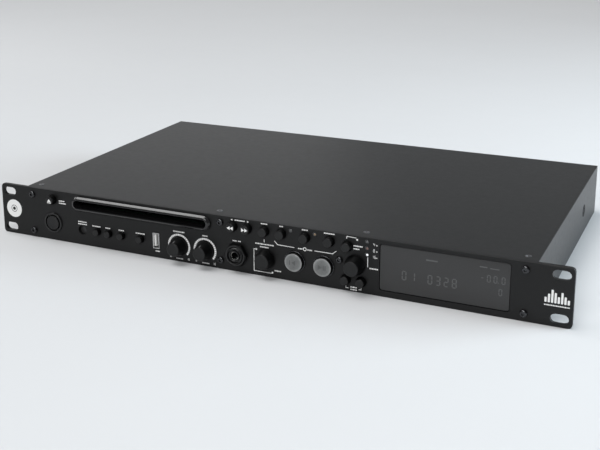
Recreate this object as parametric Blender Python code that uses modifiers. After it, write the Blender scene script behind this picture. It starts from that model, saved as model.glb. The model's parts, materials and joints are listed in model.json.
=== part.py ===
"""A rack player for discs and memory sticks, one rack unit high, as an assembly of named pieces.

X runs to the right along the front panel, Y from the panel to the rear, Z up. The rest surface is Z = 0.
"""

import math

import bmesh
import bpy
from mathutils import Matrix, Vector

# Overall sizes, in metres
PANEL_WIDTH = 0.4826
PANEL_HEIGHT = 0.0440
PANEL_THICKNESS = 0.0030
PANEL_CORNER_RADIUS = 0.0030
PANEL_EDGE_BEVEL = 0.0004
EAR_WIDTH = 0.0253
CASE_DEPTH = 0.2610
CASE_TOP_DROP = 0.0004
COVER_SHEET = 0.0010
BASE_SHEET = 0.0012
FIT_GAP = 0.0003
CUT_OVERRUN = 0.0020
FUSE_DEPTH = 0.0004
MERGE_DISTANCE = 0.0001
SHARP_ANGLE = math.radians(30)

# Rack slots
RACK_SLOT_LENGTH = 0.0126
RACK_SLOT_HEIGHT = 0.0070
RACK_SLOT_INSET_X = 0.00875
RACK_SLOT_INSET_Z = 0.006125

# Layout along the panel, from the left end of the case to its right end
SCREW_INSET = 0.0075
POWER_INSET = 0.0284
POWER_TO_BEZEL = 0.02085
BEZEL_TO_SCREW = 0.00815
CONTROL_SPAN = 0.1211
LIGHTS_TO_DISPLAY = 0.0100
DISPLAY_INSET = 0.0177
DISPLAY_LOW_MARGIN = 0.0052
DISPLAY_HIGH_MARGIN = 0.0038

# Panel screws
SCREW_HEAD_RADIUS = 0.00285
SCREW_HEAD_HEIGHT = 0.00165
SCREW_SHANK_RADIUS = 0.00145
SCREW_LENGTH = 0.0080
SCREW_CLEARANCE = 0.0003
HEX_SOCKET_WIDTH = 0.0020
HEX_SOCKET_DEPTH = 0.0010
SCREW_DOME_SHARES = ((0.0, 1.0), (0.55, 0.97), (0.86, 0.62), (1.0, 0.12))

# Buttons
ROUND_BUTTON_RADIUS = 0.0041
ROUND_BUTTON_REACH = 0.0050
SMALL_BUTTON_RADIUS = 0.00325
SMALL_BUTTON_REACH = 0.0038
BEND_BUTTON_RADIUS = 0.0039
BEND_BUTTON_REACH = 0.0045
BUTTON_EDGE = 0.0005
BUTTON_CLEARANCE = 0.0003
BUTTON_COLLAR_MARGIN = 0.0007
BUTTON_COLLAR_THICKNESS = 0.0008
BUTTON_STEM_RADIUS = 0.0014
BUTTON_TRAVEL = 0.0010
LIT_BUTTON_RADIUS = 0.0073
LIT_BUTTON_REACH = 0.0040
LIT_RING_RADIUS = 0.0085
LIT_RING_BORE = 0.0077
LIT_RING_REACH = 0.0012
LIT_RING_COLLAR = 0.0081
LIT_RING_LENGTH = 0.0036

# Power switch
POWER_HOUSING_RADIUS = 0.0090
POWER_HOUSING_REACH = 0.0014
POWER_BAND = 0.0009
POWER_RECESS_RADIUS = 0.0073
POWER_RECESS_DEPTH = 0.0010
POWER_COLLAR_RADIUS = 0.0080
POWER_BUTTON_RADIUS = 0.0061
POWER_BUTTON_REACH = 0.0016
POWER_BUTTON_LENGTH = 0.0066
POWER_TRAVEL = 0.0020
POWER_BODY_WIDTH = 0.0150
POWER_BODY_LENGTH = 0.0180

# Disc slot bezel
DISC_RADIUS = 0.0600
SLOT_CLEARANCE = 0.00275
SLOT_HEIGHT = 0.0068
BEZEL_BORDER_X = 0.0030
BEZEL_BORDER_Z = 0.0028
BEZEL_REACH = 0.0040
BEZEL_RIM = 0.0011
BEZEL_COLLAR_WALL = 0.0012
BEZEL_COLLAR_LENGTH = 0.0060
FELT_THICKNESS = 0.0008
FELT_END_MARGIN = 0.00475
FELT_LENGTH = 0.0050
STADIUM_SHARE = 0.96

# Sensor window
SENSOR_HOLE_RADIUS = 0.0040
SENSOR_WINDOW_RADIUS = 0.0050
SENSOR_WINDOW_THICKNESS = 0.0015

# USB socket
USB_CUTOUT_WIDTH = 0.0066
USB_CUTOUT_HEIGHT = 0.0138
USB_SHELL_WIDTH = 0.0058
USB_SHELL_HEIGHT = 0.0130
USB_SHELL_WALL = 0.0004
USB_SHELL_LENGTH = 0.0150
USB_BACK_WALL = 0.0010
USB_TONGUE_THICKNESS = 0.0018
USB_TONGUE_INSET = 0.0012

# Volume knobs, track knob and pitch knob
VOLUME_KNOB_RADIUS = 0.0077
VOLUME_KNOB_FACE = 0.0054
VOLUME_KNOB_REACH = 0.0103
TRACK_KNOB_RADIUS = 0.0079
TRACK_KNOB_FACE = 0.0058
TRACK_KNOB_REACH = 0.0085
PITCH_KNOB_RADIUS = 0.0078
PITCH_KNOB_FACE = 0.0057
PITCH_KNOB_REACH = 0.0105
KNOB_LIFT = 0.0004
KNOB_EDGE = 0.0005
KNOB_SKIRT = 0.0016
KNOB_SHAFT_RADIUS = 0.0030
KNOB_HOLE_RADIUS = 0.0036
TRACK_PUSH = 0.0005
TRACK_BORE_DEPTH = 0.0060
BORE_CLEARANCE = 0.0001

# Microphone jack
JACK_BUSH_RADIUS = 0.0064
JACK_BORE_RADIUS = 0.0033
JACK_REACH = 0.0061
JACK_EDGE = 0.0006
JACK_NUT_WIDTH = 0.0168
JACK_NUT_REACH = 0.0042
JACK_BODY_SIZE = 0.0150
JACK_BODY_LENGTH = 0.0270
JACK_BORE_LENGTH = 0.0280

# Small lights
LIGHT_RADIUS = 0.0015
LIGHT_CLEARANCE = 0.0002
LIGHT_BAR_WIDTH = 0.0030
LIGHT_BAR_THICKNESS = 0.0015
LIGHT_REACH = 0.0002

# Display
DISPLAY_CORNER = 0.0020
DISPLAY_CLEARANCE = 0.0004
DISPLAY_DROP = 0.0004
DISPLAY_FLANGE = 0.0016
DISPLAY_FLANGE_THICKNESS = 0.0010
DISPLAY_MODULE_DEPTH = 0.0070
DISPLAY_GLASS_BORDER = 0.0035
DISPLAY_GLASS_DROP = 0.0006

# Front circuit board, measured from the panel's front
BOARD_THICKNESS = 0.0016
FRONT_BOARD_DEPTH = 0.0160
FRONT_BOARD_EDGE_GAP = 0.0035
TACT_SIZE = 0.0060
TACT_HEIGHT = 0.0048
POT_SIZE = 0.0120
POT_HEIGHT = 0.0070
STANDOFF_RADIUS = 0.0026
SENSOR_CHIP_SIZE = 0.0050

# Chassis base
FRONT_FLANGE_DEPTH = 0.0130
FRONT_SILL = 0.0030
WINDOW_DEPTH = 0.0026
SIDE_FLANGE_HEIGHT = 0.0100
VENT_WIDTH = 0.0025
VENT_MARGIN_Z = 0.0120
VENT_PITCH = 0.0070
VENT_COUNT = 10
BOSS_RADIUS = 0.0030
BOARD_LIFT = 0.0070

# Disc drive
DRIVE_SIDE_ROOM = 0.0150
DRIVE_DEPTH = 0.1650
DRIVE_SETBACK = 0.0260
DRIVE_LIFT = 0.0040
DRIVE_WALL = 0.0015
DRIVE_TOP_GAP = 0.0012
DRIVE_COVER_SHEET = 0.0010
DRIVE_COVER_SKIRT = 0.0080
DISC_THICKNESS = 0.0012
DISC_SETBACK = 0.0790
MOUTH_HEIGHT = 0.0062
ROLLER_RADIUS = 0.0038
ROLLER_OVERHANG = 0.0020
ROLLER_PIN_RADIUS = 0.0015
ROLLER_SETBACK = 0.0085
MOTOR_RADIUS = 0.0135
MOTOR_HEIGHT = 0.0200
TURNTABLE_RADIUS = 0.0150
TURNTABLE_THICKNESS = 0.0016
CENTRE_CONE_RADIUS = 0.0074
CENTRE_CONE_HEIGHT = 0.0018
SPINDLE_RADIUS = 0.0010
SPINDLE_LENGTH = 0.0060
RAIL_RADIUS = 0.0015
RAIL_SPACING = 0.0400
RAIL_LIFT = 0.0120
RAIL_RIB_THICKNESS = 0.0025
RAIL_RIB_BORDER = 0.0030
SLED_WIDTH = 0.0500
SLED_LENGTH = 0.0240
SLED_HEIGHT = 0.0100
SLED_START_GAP = 0.0010
LENS_RADIUS = 0.0035
LENS_HEIGHT = 0.0070

# Main and power boards
MAIN_BOARD_DRIVE_GAP = 0.0130
MAIN_BOARD_SIDE_GAP = 0.0097
MAIN_BOARD_FRONT_GAP = 0.0344
MAIN_BOARD_REAR_GAP = 0.0280
POWER_BOARD_DRIVE_GAP = 0.0100
POWER_BOARD_REAR_GAP = 0.0070
POWER_BOARD_INLET_GAP = 0.0200
BOARD_CORNER_INSET = 0.0055

# Rear sockets
INLET_INSET = 0.0400
INLET_FLANGE_WIDTH = 0.0500
INLET_FLANGE_HEIGHT = 0.0226
INLET_FLANGE_THICKNESS = 0.0030
INLET_FLANGE_CORNER = 0.0040
INLET_BODY_WIDTH = 0.0280
INLET_BODY_HEIGHT = 0.0205
INLET_BODY_LENGTH = 0.0180
INLET_RECESS_WIDTH = 0.0246
INLET_RECESS_HEIGHT = 0.0168
INLET_RECESS_DEPTH = 0.0160
INLET_RECESS_CORNER = 0.0030
INLET_PIN_WIDTH = 0.0020
INLET_PIN_HEIGHT = 0.0040
INLET_PIN_LENGTH = 0.0130
INLET_PIN_SPACING = 0.0140
INLET_PIN_DROP = 0.0020
OUTPUT_INSET = 0.0660
OUTPUT_BLOCK_WIDTH = 0.0140
OUTPUT_BLOCK_HEIGHT = 0.0300
OUTPUT_BLOCK_LENGTH = 0.0140
OUTPUT_SPACING = 0.0140
OUTPUT_SOCKET_RADIUS = 0.0042
OUTPUT_SOCKET_BORE = 0.0017
OUTPUT_SOCKET_REACH = 0.0095
OUTPUT_FLANGE_MARGIN = 0.0015
OUTPUT_FLANGE_THICKNESS = 0.0015

# Facets of the round shapes
BUTTON_STEPS = 16
KNOB_STEPS = 26
RING_STEPS = 24
SCREW_STEPS = 12
HOLE_STEPS = 16
BIG_STEPS = 26
CORNER_STEPS = 3
BOSS_STEPS = 8

# Heights are shares of the panel's height. The second table's places are shares of the bezel's width,
# and the third's are shares of the control span.
POWER_COLUMN_SHARES = {
    "eject_button": 0.818,
    "power_button": 0.357,
}
UNDER_SLOT_SHARES = {
    "sensor_window": (0.0643, 0.295),
    "source_button": (0.1806, 0.314),
    "time_button": (0.2658, 0.314),
    "mode_button": (0.3616, 0.314),
    "repeat_button": (0.5008, 0.314),
    "usb_shell": (0.6118, 0.325),
    "master_knob": (0.7753, 0.300),
    "mic_knob": (0.9548, 0.300),
}
CONTROL_SHARES = {
    "search_back_button": (0.0900, 0.836),
    "search_forward_button": (0.1932, 0.836),
    "bank_button": (0.3146, 0.836),
    "loop_in_button": (0.4319, 0.836),
    "loop_out_button": (0.5937, 0.836),
    "reloop_button": (0.7564, 0.836),
    "menu_button": (0.8745, 0.802),
    "pitch_bend_down_button": (0.8654, 0.202),
    "pitch_bend_up_button": (0.9661, 0.202),
    "cue_button": (0.5260, 0.375),
    "play_button": (0.7201, 0.373),
    "mic_jack": (0.1197, 0.330),
    "track_knob": (0.3229, 0.330),
    "pitch_knob": (0.9273, 0.491),
    "board_screw": (0.8216, 0.532),
}
SLOT_HEIGHT_SHARE = 0.818
END_SCREW_SHARES = (0.864, 0.136)
CENTRE_SCREW_SHARES = (0.875, 0.170)
LOOP_LIGHT_SHARES = ((0.4963, 0.920), (0.6581, 0.920))
PITCH_LIGHT_SHARES = ((1.0, 0.930), (1.0, 0.816), (1.0, 0.705))
BEVEL_PROFILE_SHARE = 0.5
JACK_NUT_CHAMFER_SLOPE_SHARE = 0.8
LIT_RING_EDGE_SHARE = 0.3333

ROUND_BUTTONS = (
    "eject_button", "search_back_button", "search_forward_button", "bank_button",
    "loop_in_button", "loop_out_button", "reloop_button", "menu_button",
)
SMALL_BUTTONS = ("source_button", "time_button", "mode_button", "repeat_button")
BEND_BUTTONS = ("pitch_bend_down_button", "pitch_bend_up_button")
LIT_BUTTONS = ("cue_button", "play_button")
KNOBS = ("master_knob", "mic_knob", "track_knob", "pitch_knob")

# Sizes and planes worked out from the sizes above
CASE_WIDTH = PANEL_WIDTH - 2 * EAR_WIDTH
SLOT_WIDTH = 2 * (DISC_RADIUS + SLOT_CLEARANCE)
BEZEL_WIDTH = SLOT_WIDTH + 2 * BEZEL_BORDER_X
BEZEL_HEIGHT = SLOT_HEIGHT + 2 * BEZEL_BORDER_Z
DRIVE_WIDTH = 2 * (DISC_RADIUS + DRIVE_SIDE_ROOM)
REAR_REACH = OUTPUT_SOCKET_REACH
TOTAL_DEPTH = PANEL_THICKNESS + FIT_GAP + CASE_DEPTH
FRONT_Y = (PITCH_KNOB_REACH - TOTAL_DEPTH - REAR_REACH) / 2
PANEL_BACK_Y = FRONT_Y + PANEL_THICKNESS
CASE_FRONT_Y = PANEL_BACK_Y + FIT_GAP
CASE_BACK_Y = CASE_FRONT_Y + CASE_DEPTH
COVER_TOP_Z = PANEL_HEIGHT - CASE_TOP_DROP
BASE_TOP_Z = COVER_TOP_Z - COVER_SHEET - FIT_GAP
BASE_HALF_WIDTH = CASE_WIDTH / 2 - COVER_SHEET - FIT_GAP
COLLAR_START = PANEL_THICKNESS + FIT_GAP
POWER_X = POWER_INSET - CASE_WIDTH / 2
BEZEL_LEFT_X = POWER_X + POWER_TO_BEZEL
BEZEL_X = BEZEL_LEFT_X + BEZEL_WIDTH / 2
CENTRE_SCREW_X = BEZEL_LEFT_X + BEZEL_WIDTH + BEZEL_TO_SCREW
LIGHTS_X = CENTRE_SCREW_X + CONTROL_SPAN
DISPLAY_LEFT_X = LIGHTS_X + LIGHTS_TO_DISPLAY
DISPLAY_RIGHT_X = CASE_WIDTH / 2 - DISPLAY_INSET
DISPLAY_WIDTH = DISPLAY_RIGHT_X - DISPLAY_LEFT_X
DISPLAY_HEIGHT = PANEL_HEIGHT - DISPLAY_LOW_MARGIN - DISPLAY_HIGH_MARGIN
INLET_X = INLET_INSET - CASE_WIDTH / 2
OUTPUT_X = CASE_WIDTH / 2 - OUTPUT_INSET
SOCKET_Z = COVER_TOP_Z / 2
MAIN_BOARD_LEFT = BEZEL_X + DRIVE_WIDTH / 2 + MAIN_BOARD_DRIVE_GAP
MAIN_BOARD_RIGHT = BASE_HALF_WIDTH - BASE_SHEET - MAIN_BOARD_SIDE_GAP
MAIN_BOARD_FRONT = FRONT_Y + FRONT_BOARD_DEPTH + BOARD_THICKNESS + MAIN_BOARD_FRONT_GAP
MAIN_BOARD_BACK = CASE_BACK_Y - BASE_SHEET - MAIN_BOARD_REAR_GAP
POWER_BOARD_LEFT = INLET_X + INLET_BODY_WIDTH / 2 + POWER_BOARD_INLET_GAP
POWER_BOARD_RIGHT = MAIN_BOARD_LEFT - MAIN_BOARD_DRIVE_GAP
POWER_BOARD_FRONT = FRONT_Y + DRIVE_SETBACK + DRIVE_DEPTH + POWER_BOARD_DRIVE_GAP
POWER_BOARD_BACK = CASE_BACK_Y - BASE_SHEET - POWER_BOARD_REAR_GAP
FACING_FRONT = Matrix.Rotation(math.pi / 2, 4, "X")

MATERIALS = {
    "panel_black": ((0.024, 0.026, 0.030), 0.15, 0.55),
    "sheet_black": ((0.032, 0.034, 0.038), 0.30, 0.48),
    "chassis_steel": ((0.42, 0.43, 0.44), 1.0, 0.42),
    "button_black": ((0.018, 0.018, 0.020), 0.0, 0.42),
    "knob_grey": ((0.030, 0.032, 0.034), 0.0, 0.50),
    "bezel_black": ((0.012, 0.012, 0.014), 0.0, 0.22),
    "felt_black": ((0.010, 0.010, 0.011), 0.0, 0.95),
    "screw_black": ((0.035, 0.036, 0.040), 0.80, 0.36),
    "lens_smoke": ((0.035, 0.037, 0.042), 0.0, 0.12),
    "light_clear": ((0.60, 0.62, 0.64), 0.0, 0.25),
    "lit_grey": ((0.30, 0.31, 0.32), 0.0, 0.38),
    "socket_steel": ((0.62, 0.63, 0.65), 1.0, 0.28),
    "plastic_black": ((0.020, 0.020, 0.022), 0.0, 0.50),
    "plastic_white": ((0.75, 0.75, 0.73), 0.0, 0.45),
    "board_green": ((0.020, 0.110, 0.050), 0.0, 0.45),
    "module_grey": ((0.10, 0.11, 0.12), 0.0, 0.40),
    "drive_steel": ((0.50, 0.51, 0.52), 1.0, 0.38),
    "roller_rubber": ((0.030, 0.030, 0.030), 0.0, 0.85),
    "motor_metal": ((0.55, 0.56, 0.57), 1.0, 0.30),
}


def clear_scene():
    for obj in list(bpy.data.objects):
        bpy.data.objects.remove(obj, do_unlink=True)


def new_collection(name, hidden):
    collection = bpy.data.collections.new(name)
    bpy.context.scene.collection.children.link(collection)
    collection.hide_render = hidden
    return collection


def make_material(name):
    colour, metallic, roughness = MATERIALS[name]
    material = bpy.data.materials.new(name)
    material.use_nodes = True
    shader = material.node_tree.nodes["Principled BSDF"]
    shader.inputs["Base Color"].default_value = (*colour, 1.0)
    shader.inputs["Metallic"].default_value = metallic
    shader.inputs["Roughness"].default_value = roughness
    material.diffuse_color = (*colour, 1.0)
    return material


clear_scene()
PARTS = new_collection("rack_disc_player", False)
CUTTERS = new_collection("cutters", True)
SURFACES = {name: make_material(name) for name in MATERIALS}


def panel_point(x, height_share):
    """The world point on the panel's front at this x and this share of the panel's height."""
    return Vector((x, FRONT_Y, height_share * PANEL_HEIGHT))


def control_point(shares):
    return panel_point(CENTRE_SCREW_X + shares[0] * CONTROL_SPAN, shares[1])


def panel_places():
    """Where each named piece is centred on the panel's front."""
    places = {name: panel_point(POWER_X, share) for name, share in POWER_COLUMN_SHARES.items()}
    for name, shares in UNDER_SLOT_SHARES.items():
        places[name] = panel_point(BEZEL_LEFT_X + shares[0] * BEZEL_WIDTH, shares[1])
    for name, shares in CONTROL_SHARES.items():
        places[name] = control_point(shares)
    places["slot_bezel"] = panel_point(BEZEL_X, SLOT_HEIGHT_SHARE)
    middle = (DISPLAY_LEFT_X + DISPLAY_RIGHT_X) / 2
    places["display_window"] = Vector((middle, FRONT_Y, DISPLAY_LOW_MARGIN + DISPLAY_HEIGHT / 2))
    return places


PLACES = panel_places()


def frame_screw_places():
    """The six panel screws that hold to the chassis."""
    end_x = CASE_WIDTH / 2 - SCREW_INSET
    places = []
    columns = ((-end_x, END_SCREW_SHARES), (CENTRE_SCREW_X, CENTRE_SCREW_SHARES), (end_x, END_SCREW_SHARES))
    for x, shares in columns:
        places += [panel_point(x, share) for share in shares]
    return places


def new_object(name, mesh, collection):
    obj = bpy.data.objects.new(name, mesh)
    collection.objects.link(obj)
    return obj


def mesh_from(name, builder):
    mesh = bpy.data.meshes.new(name)
    bmesh.ops.recalc_face_normals(builder, faces=builder.faces)
    builder.to_mesh(mesh)
    builder.free()
    return mesh


def add_block(builder, x, y, z):
    """Adds a box that runs between two values along each axis."""
    centre = Vector(((x[0] + x[1]) / 2, (y[0] + y[1]) / 2, (z[0] + z[1]) / 2))
    size = Vector((x[1] - x[0], y[1] - y[0], z[1] - z[0]))
    matrix = Matrix.Translation(centre) @ Matrix.Diagonal((*size, 1.0))
    return bmesh.ops.create_cube(builder, size=1.0, matrix=matrix)["verts"]


def add_rod(builder, start, end, radius, steps, end_radius=None):
    """Adds a cylinder or a cone from one point to another."""
    start, end = Vector(start), Vector(end)
    turn = (end - start).to_track_quat("Z", "Y").to_matrix().to_4x4()
    matrix = Matrix.Translation((start + end) / 2) @ turn
    last = radius if end_radius is None else end_radius
    bmesh.ops.create_cone(
        builder, cap_ends=True, segments=steps, radius1=radius, radius2=last,
        depth=(end - start).length, matrix=matrix,
    )


def add_rounded_block(builder, x, y, z, corner, rim=0.0, axis=1, rim_side=-1):
    """Adds a box with the four edges along one axis rounded, and the rim of one end face too."""
    verts = add_block(builder, x, y, z)
    edges = {edge for vert in verts for edge in vert.link_edges}
    along = [edge for edge in edges if edge.verts[0].co[axis] != edge.verts[1].co[axis]]
    made = bmesh.ops.bevel(
        builder, geom=along, offset=corner, segments=CORNER_STEPS, affect="EDGES", profile=BEVEL_PROFILE_SHARE,
    )
    if not rim:
        return
    block = {vert for vert in verts if vert.is_valid} | set(made["verts"])
    ends = sorted(vert.co[axis] for vert in block)
    level = ends[0] if rim_side < 0 else ends[-1]
    edges = {edge for vert in block for edge in vert.link_edges}
    ring = [edge for edge in edges if all(abs(vert.co[axis] - level) < MERGE_DISTANCE for vert in edge.verts)]
    bmesh.ops.bevel(builder, geom=ring, offset=rim, segments=2, affect="EDGES", profile=BEVEL_PROFILE_SHARE)


def helper(name, builder):
    """An object that cuts or joins, and isn't part of the model."""
    obj = new_object(name, mesh_from(name, builder), CUTTERS)
    obj.hide_render = True
    obj.display_type = "WIRE"
    return obj


def combine(obj, operation, builder):
    modifier = obj.modifiers.new(operation.lower(), "BOOLEAN")
    modifier.operation = operation
    modifier.solver = "EXACT"
    modifier.object = helper(f"{obj.name}_{operation.lower()}", builder)


def cut(obj, builder):
    combine(obj, "DIFFERENCE", builder)


def fuse(obj, builder):
    combine(obj, "UNION", builder)


def settle(obj):
    """Turns the object's modifiers into its mesh and shades its round faces smooth."""
    graph = bpy.context.evaluated_depsgraph_get()
    mesh = bpy.data.meshes.new_from_object(obj.evaluated_get(graph))
    mesh.name = obj.name
    obj.modifiers.clear()
    obj.data = mesh
    mesh.materials.clear()
    mesh.materials.append(SURFACES[obj["surface"]])
    mesh.shade_smooth()
    mesh.set_sharp_from_angle(angle=SHARP_ANGLE)


def part(name, builder, surface, point=None):
    """A named piece from a builder that holds world places, with its origin at the given point."""
    mesh = mesh_from(name, builder)
    obj = new_object(name, mesh, PARTS)
    obj["surface"] = surface
    if point is not None:
        mesh.transform(Matrix.Translation(-Vector(point)))
        obj.location = point
    return obj


def turned(name, profile, surface, point, steps, facing=FACING_FRONT):
    """A turned piece: its profile, top to bottom, lies at +X, and +Z points along the facing."""
    mesh = bpy.data.meshes.new(name)
    edges = [(index, index + 1) for index in range(len(profile) - 1)]
    mesh.from_pydata([(radius, 0.0, height) for radius, height in profile], edges, [])
    obj = new_object(name, mesh, PARTS)
    obj["surface"] = surface
    obj.location = point
    obj.rotation_euler = facing.to_euler()
    modifier = obj.modifiers.new("turn", "SCREW")
    modifier.axis = "Z"
    modifier.angle = 2 * math.pi
    modifier.steps = steps
    modifier.render_steps = steps
    modifier.use_merge_vertices = True
    modifier.merge_threshold = MERGE_DISTANCE
    return obj


def at_front(point, depth):
    """The same place on the panel at another depth behind its front."""
    return Vector((point.x, FRONT_Y + depth, point.z))


def board_buttons():
    """Every sprung button on the front board: name, radius and reach."""
    for names, radius, reach in (
        (ROUND_BUTTONS, ROUND_BUTTON_RADIUS, ROUND_BUTTON_REACH),
        (SMALL_BUTTONS, SMALL_BUTTON_RADIUS, SMALL_BUTTON_REACH),
        (BEND_BUTTONS, BEND_BUTTON_RADIUS, BEND_BUTTON_REACH),
        (LIT_BUTTONS, LIT_BUTTON_RADIUS, LIT_BUTTON_REACH),
    ):
        for name in names:
            yield name, radius, reach


def cut_panel_openings(panel):
    """One cutter with every hole of the panel, each with the clearance of the piece that it takes."""
    near, far = FRONT_Y - CUT_OVERRUN, PANEL_BACK_Y + CUT_OVERRUN
    holes = bmesh.new()

    def hole(point, radius, steps=HOLE_STEPS):
        add_rod(holes, (point.x, near, point.z), (point.x, far, point.z), radius, steps)

    for name, radius, _ in board_buttons():
        through = LIT_RING_COLLAR if name in LIT_BUTTONS else radius
        hole(PLACES[name], through + BUTTON_CLEARANCE)
    for name in KNOBS:
        hole(PLACES[name], KNOB_HOLE_RADIUS)
    for shares in LOOP_LIGHT_SHARES + PITCH_LIGHT_SHARES:
        hole(control_point(shares), LIGHT_RADIUS + LIGHT_CLEARANCE, SCREW_STEPS)
    for point in [*frame_screw_places(), PLACES["board_screw"]]:
        hole(point, SCREW_SHANK_RADIUS + SCREW_CLEARANCE, SCREW_STEPS)
    hole(PLACES["power_button"], POWER_COLLAR_RADIUS + BUTTON_CLEARANCE)
    hole(PLACES["sensor_window"], SENSOR_HOLE_RADIUS)
    hole(PLACES["mic_jack"], JACK_BUSH_RADIUS + BUTTON_CLEARANCE)
    window = PLACES["display_window"]
    half_width = DISPLAY_WIDTH / 2 + DISPLAY_CLEARANCE
    half_height = DISPLAY_HEIGHT / 2 + DISPLAY_CLEARANCE
    add_rounded_block(
        holes, (window.x - half_width, window.x + half_width), (near, far),
        (window.z - half_height, window.z + half_height), DISPLAY_CORNER,
    )
    slot = PLACES["slot_bezel"]
    half_width = SLOT_WIDTH / 2 + BEZEL_COLLAR_WALL + FIT_GAP
    half_height = SLOT_HEIGHT / 2 + BEZEL_COLLAR_WALL + FIT_GAP
    add_rounded_block(
        holes, (slot.x - half_width, slot.x + half_width), (near, far),
        (slot.z - half_height, slot.z + half_height), STADIUM_SHARE * half_height,
    )
    usb = PLACES["usb_shell"]
    add_block(
        holes, (usb.x - USB_CUTOUT_WIDTH / 2, usb.x + USB_CUTOUT_WIDTH / 2), (near, far),
        (usb.z - USB_CUTOUT_HEIGHT / 2, usb.z + USB_CUTOUT_HEIGHT / 2),
    )
    for side in (-1, 1):
        for z in (RACK_SLOT_INSET_Z, PANEL_HEIGHT - RACK_SLOT_INSET_Z):
            x = side * (PANEL_WIDTH / 2 - RACK_SLOT_INSET_X)
            add_rounded_block(
                holes, (x - RACK_SLOT_LENGTH / 2, x + RACK_SLOT_LENGTH / 2), (near, far),
                (z - RACK_SLOT_HEIGHT / 2, z + RACK_SLOT_HEIGHT / 2), STADIUM_SHARE * RACK_SLOT_HEIGHT / 2,
            )
    cut(panel, holes)


def make_front_panel():
    builder = bmesh.new()
    add_rounded_block(
        builder, (-PANEL_WIDTH / 2, PANEL_WIDTH / 2), (FRONT_Y, PANEL_BACK_Y), (0.0, PANEL_HEIGHT),
        PANEL_CORNER_RADIUS, PANEL_EDGE_BEVEL,
    )
    panel = part("front_panel", builder, "panel_black", (0.0, FRONT_Y, 0.0))
    cut_panel_openings(panel)


def make_panel_screws():
    head = [(radius * SCREW_HEAD_RADIUS, height * SCREW_HEAD_HEIGHT) for radius, height in SCREW_DOME_SHARES]
    head = [(radius, height + FIT_GAP) for radius, height in head]
    profile = head + [
        (SCREW_HEAD_RADIUS, FIT_GAP),
        (SCREW_SHANK_RADIUS, FIT_GAP),
        (SCREW_SHANK_RADIUS, -SCREW_LENGTH),
        (0.0, -SCREW_LENGTH),
    ]
    hex_radius = HEX_SOCKET_WIDTH / math.sqrt(3)
    for index, point in enumerate([*frame_screw_places(), PLACES["board_screw"]]):
        screw = turned(f"panel_screw_{index + 1}", profile, "screw_black", point, SCREW_STEPS)
        socket = bmesh.new()
        top = FIT_GAP + SCREW_HEAD_HEIGHT
        add_rod(
            socket, at_front(point, -top - CUT_OVERRUN), at_front(point, HEX_SOCKET_DEPTH - top),
            hex_radius, 6,
        )
        cut(screw, socket)


def button_profile(radius, reach, stem_end, collar_radius):
    """A cap with a chamfered edge, the collar that keeps it in, and its stem."""
    collar_end = COLLAR_START + BUTTON_COLLAR_THICKNESS
    return [
        (0.0, reach),
        (radius - BUTTON_EDGE, reach),
        (radius, reach - BUTTON_EDGE),
        (radius, -COLLAR_START),
        (collar_radius, -COLLAR_START),
        (collar_radius, -collar_end),
        (BUTTON_STEM_RADIUS, -collar_end),
        (BUTTON_STEM_RADIUS, -stem_end),
        (0.0, -stem_end),
    ]


def make_buttons():
    stem_end = FRONT_BOARD_DEPTH - TACT_HEIGHT - BUTTON_TRAVEL - FIT_GAP
    for name, radius, reach in board_buttons():
        if name in LIT_BUTTONS:
            profile = lit_button_profile(radius, reach, stem_end)
            turned(name, profile, "lit_grey", PLACES[name], RING_STEPS)
        else:
            profile = button_profile(radius, reach, stem_end, radius + BUTTON_COLLAR_MARGIN)
            turned(name, profile, "button_black", PLACES[name], BUTTON_STEPS)


def lit_button_profile(radius, reach, stem_end):
    """A cap that slides in its ring, with the collar behind the ring."""
    start = LIT_RING_LENGTH + FIT_GAP
    end = start + BUTTON_COLLAR_THICKNESS
    return [
        (0.0, reach),
        (radius - BUTTON_EDGE, reach),
        (radius, reach - BUTTON_EDGE),
        (radius, -start),
        (LIT_RING_COLLAR, -start),
        (LIT_RING_COLLAR, -end),
        (BUTTON_STEM_RADIUS, -end),
        (BUTTON_STEM_RADIUS, -stem_end),
        (0.0, -stem_end),
    ]


def make_lit_rings():
    """The thin ring round each lit button: a flange on the panel and a collar through it."""
    edge = LIT_RING_EDGE_SHARE * (LIT_RING_REACH - FIT_GAP)
    profile = [
        (LIT_RING_BORE, -LIT_RING_LENGTH),
        (LIT_RING_BORE, LIT_RING_REACH),
        (LIT_RING_RADIUS - edge, LIT_RING_REACH),
        (LIT_RING_RADIUS, LIT_RING_REACH - edge),
        (LIT_RING_RADIUS, FIT_GAP),
        (LIT_RING_COLLAR, FIT_GAP),
        (LIT_RING_COLLAR, -LIT_RING_LENGTH),
        (LIT_RING_BORE, -LIT_RING_LENGTH),
    ]
    for name in LIT_BUTTONS:
        turned(name.replace("_button", "_ring"), profile, "socket_steel", PLACES[name], RING_STEPS)


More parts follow.
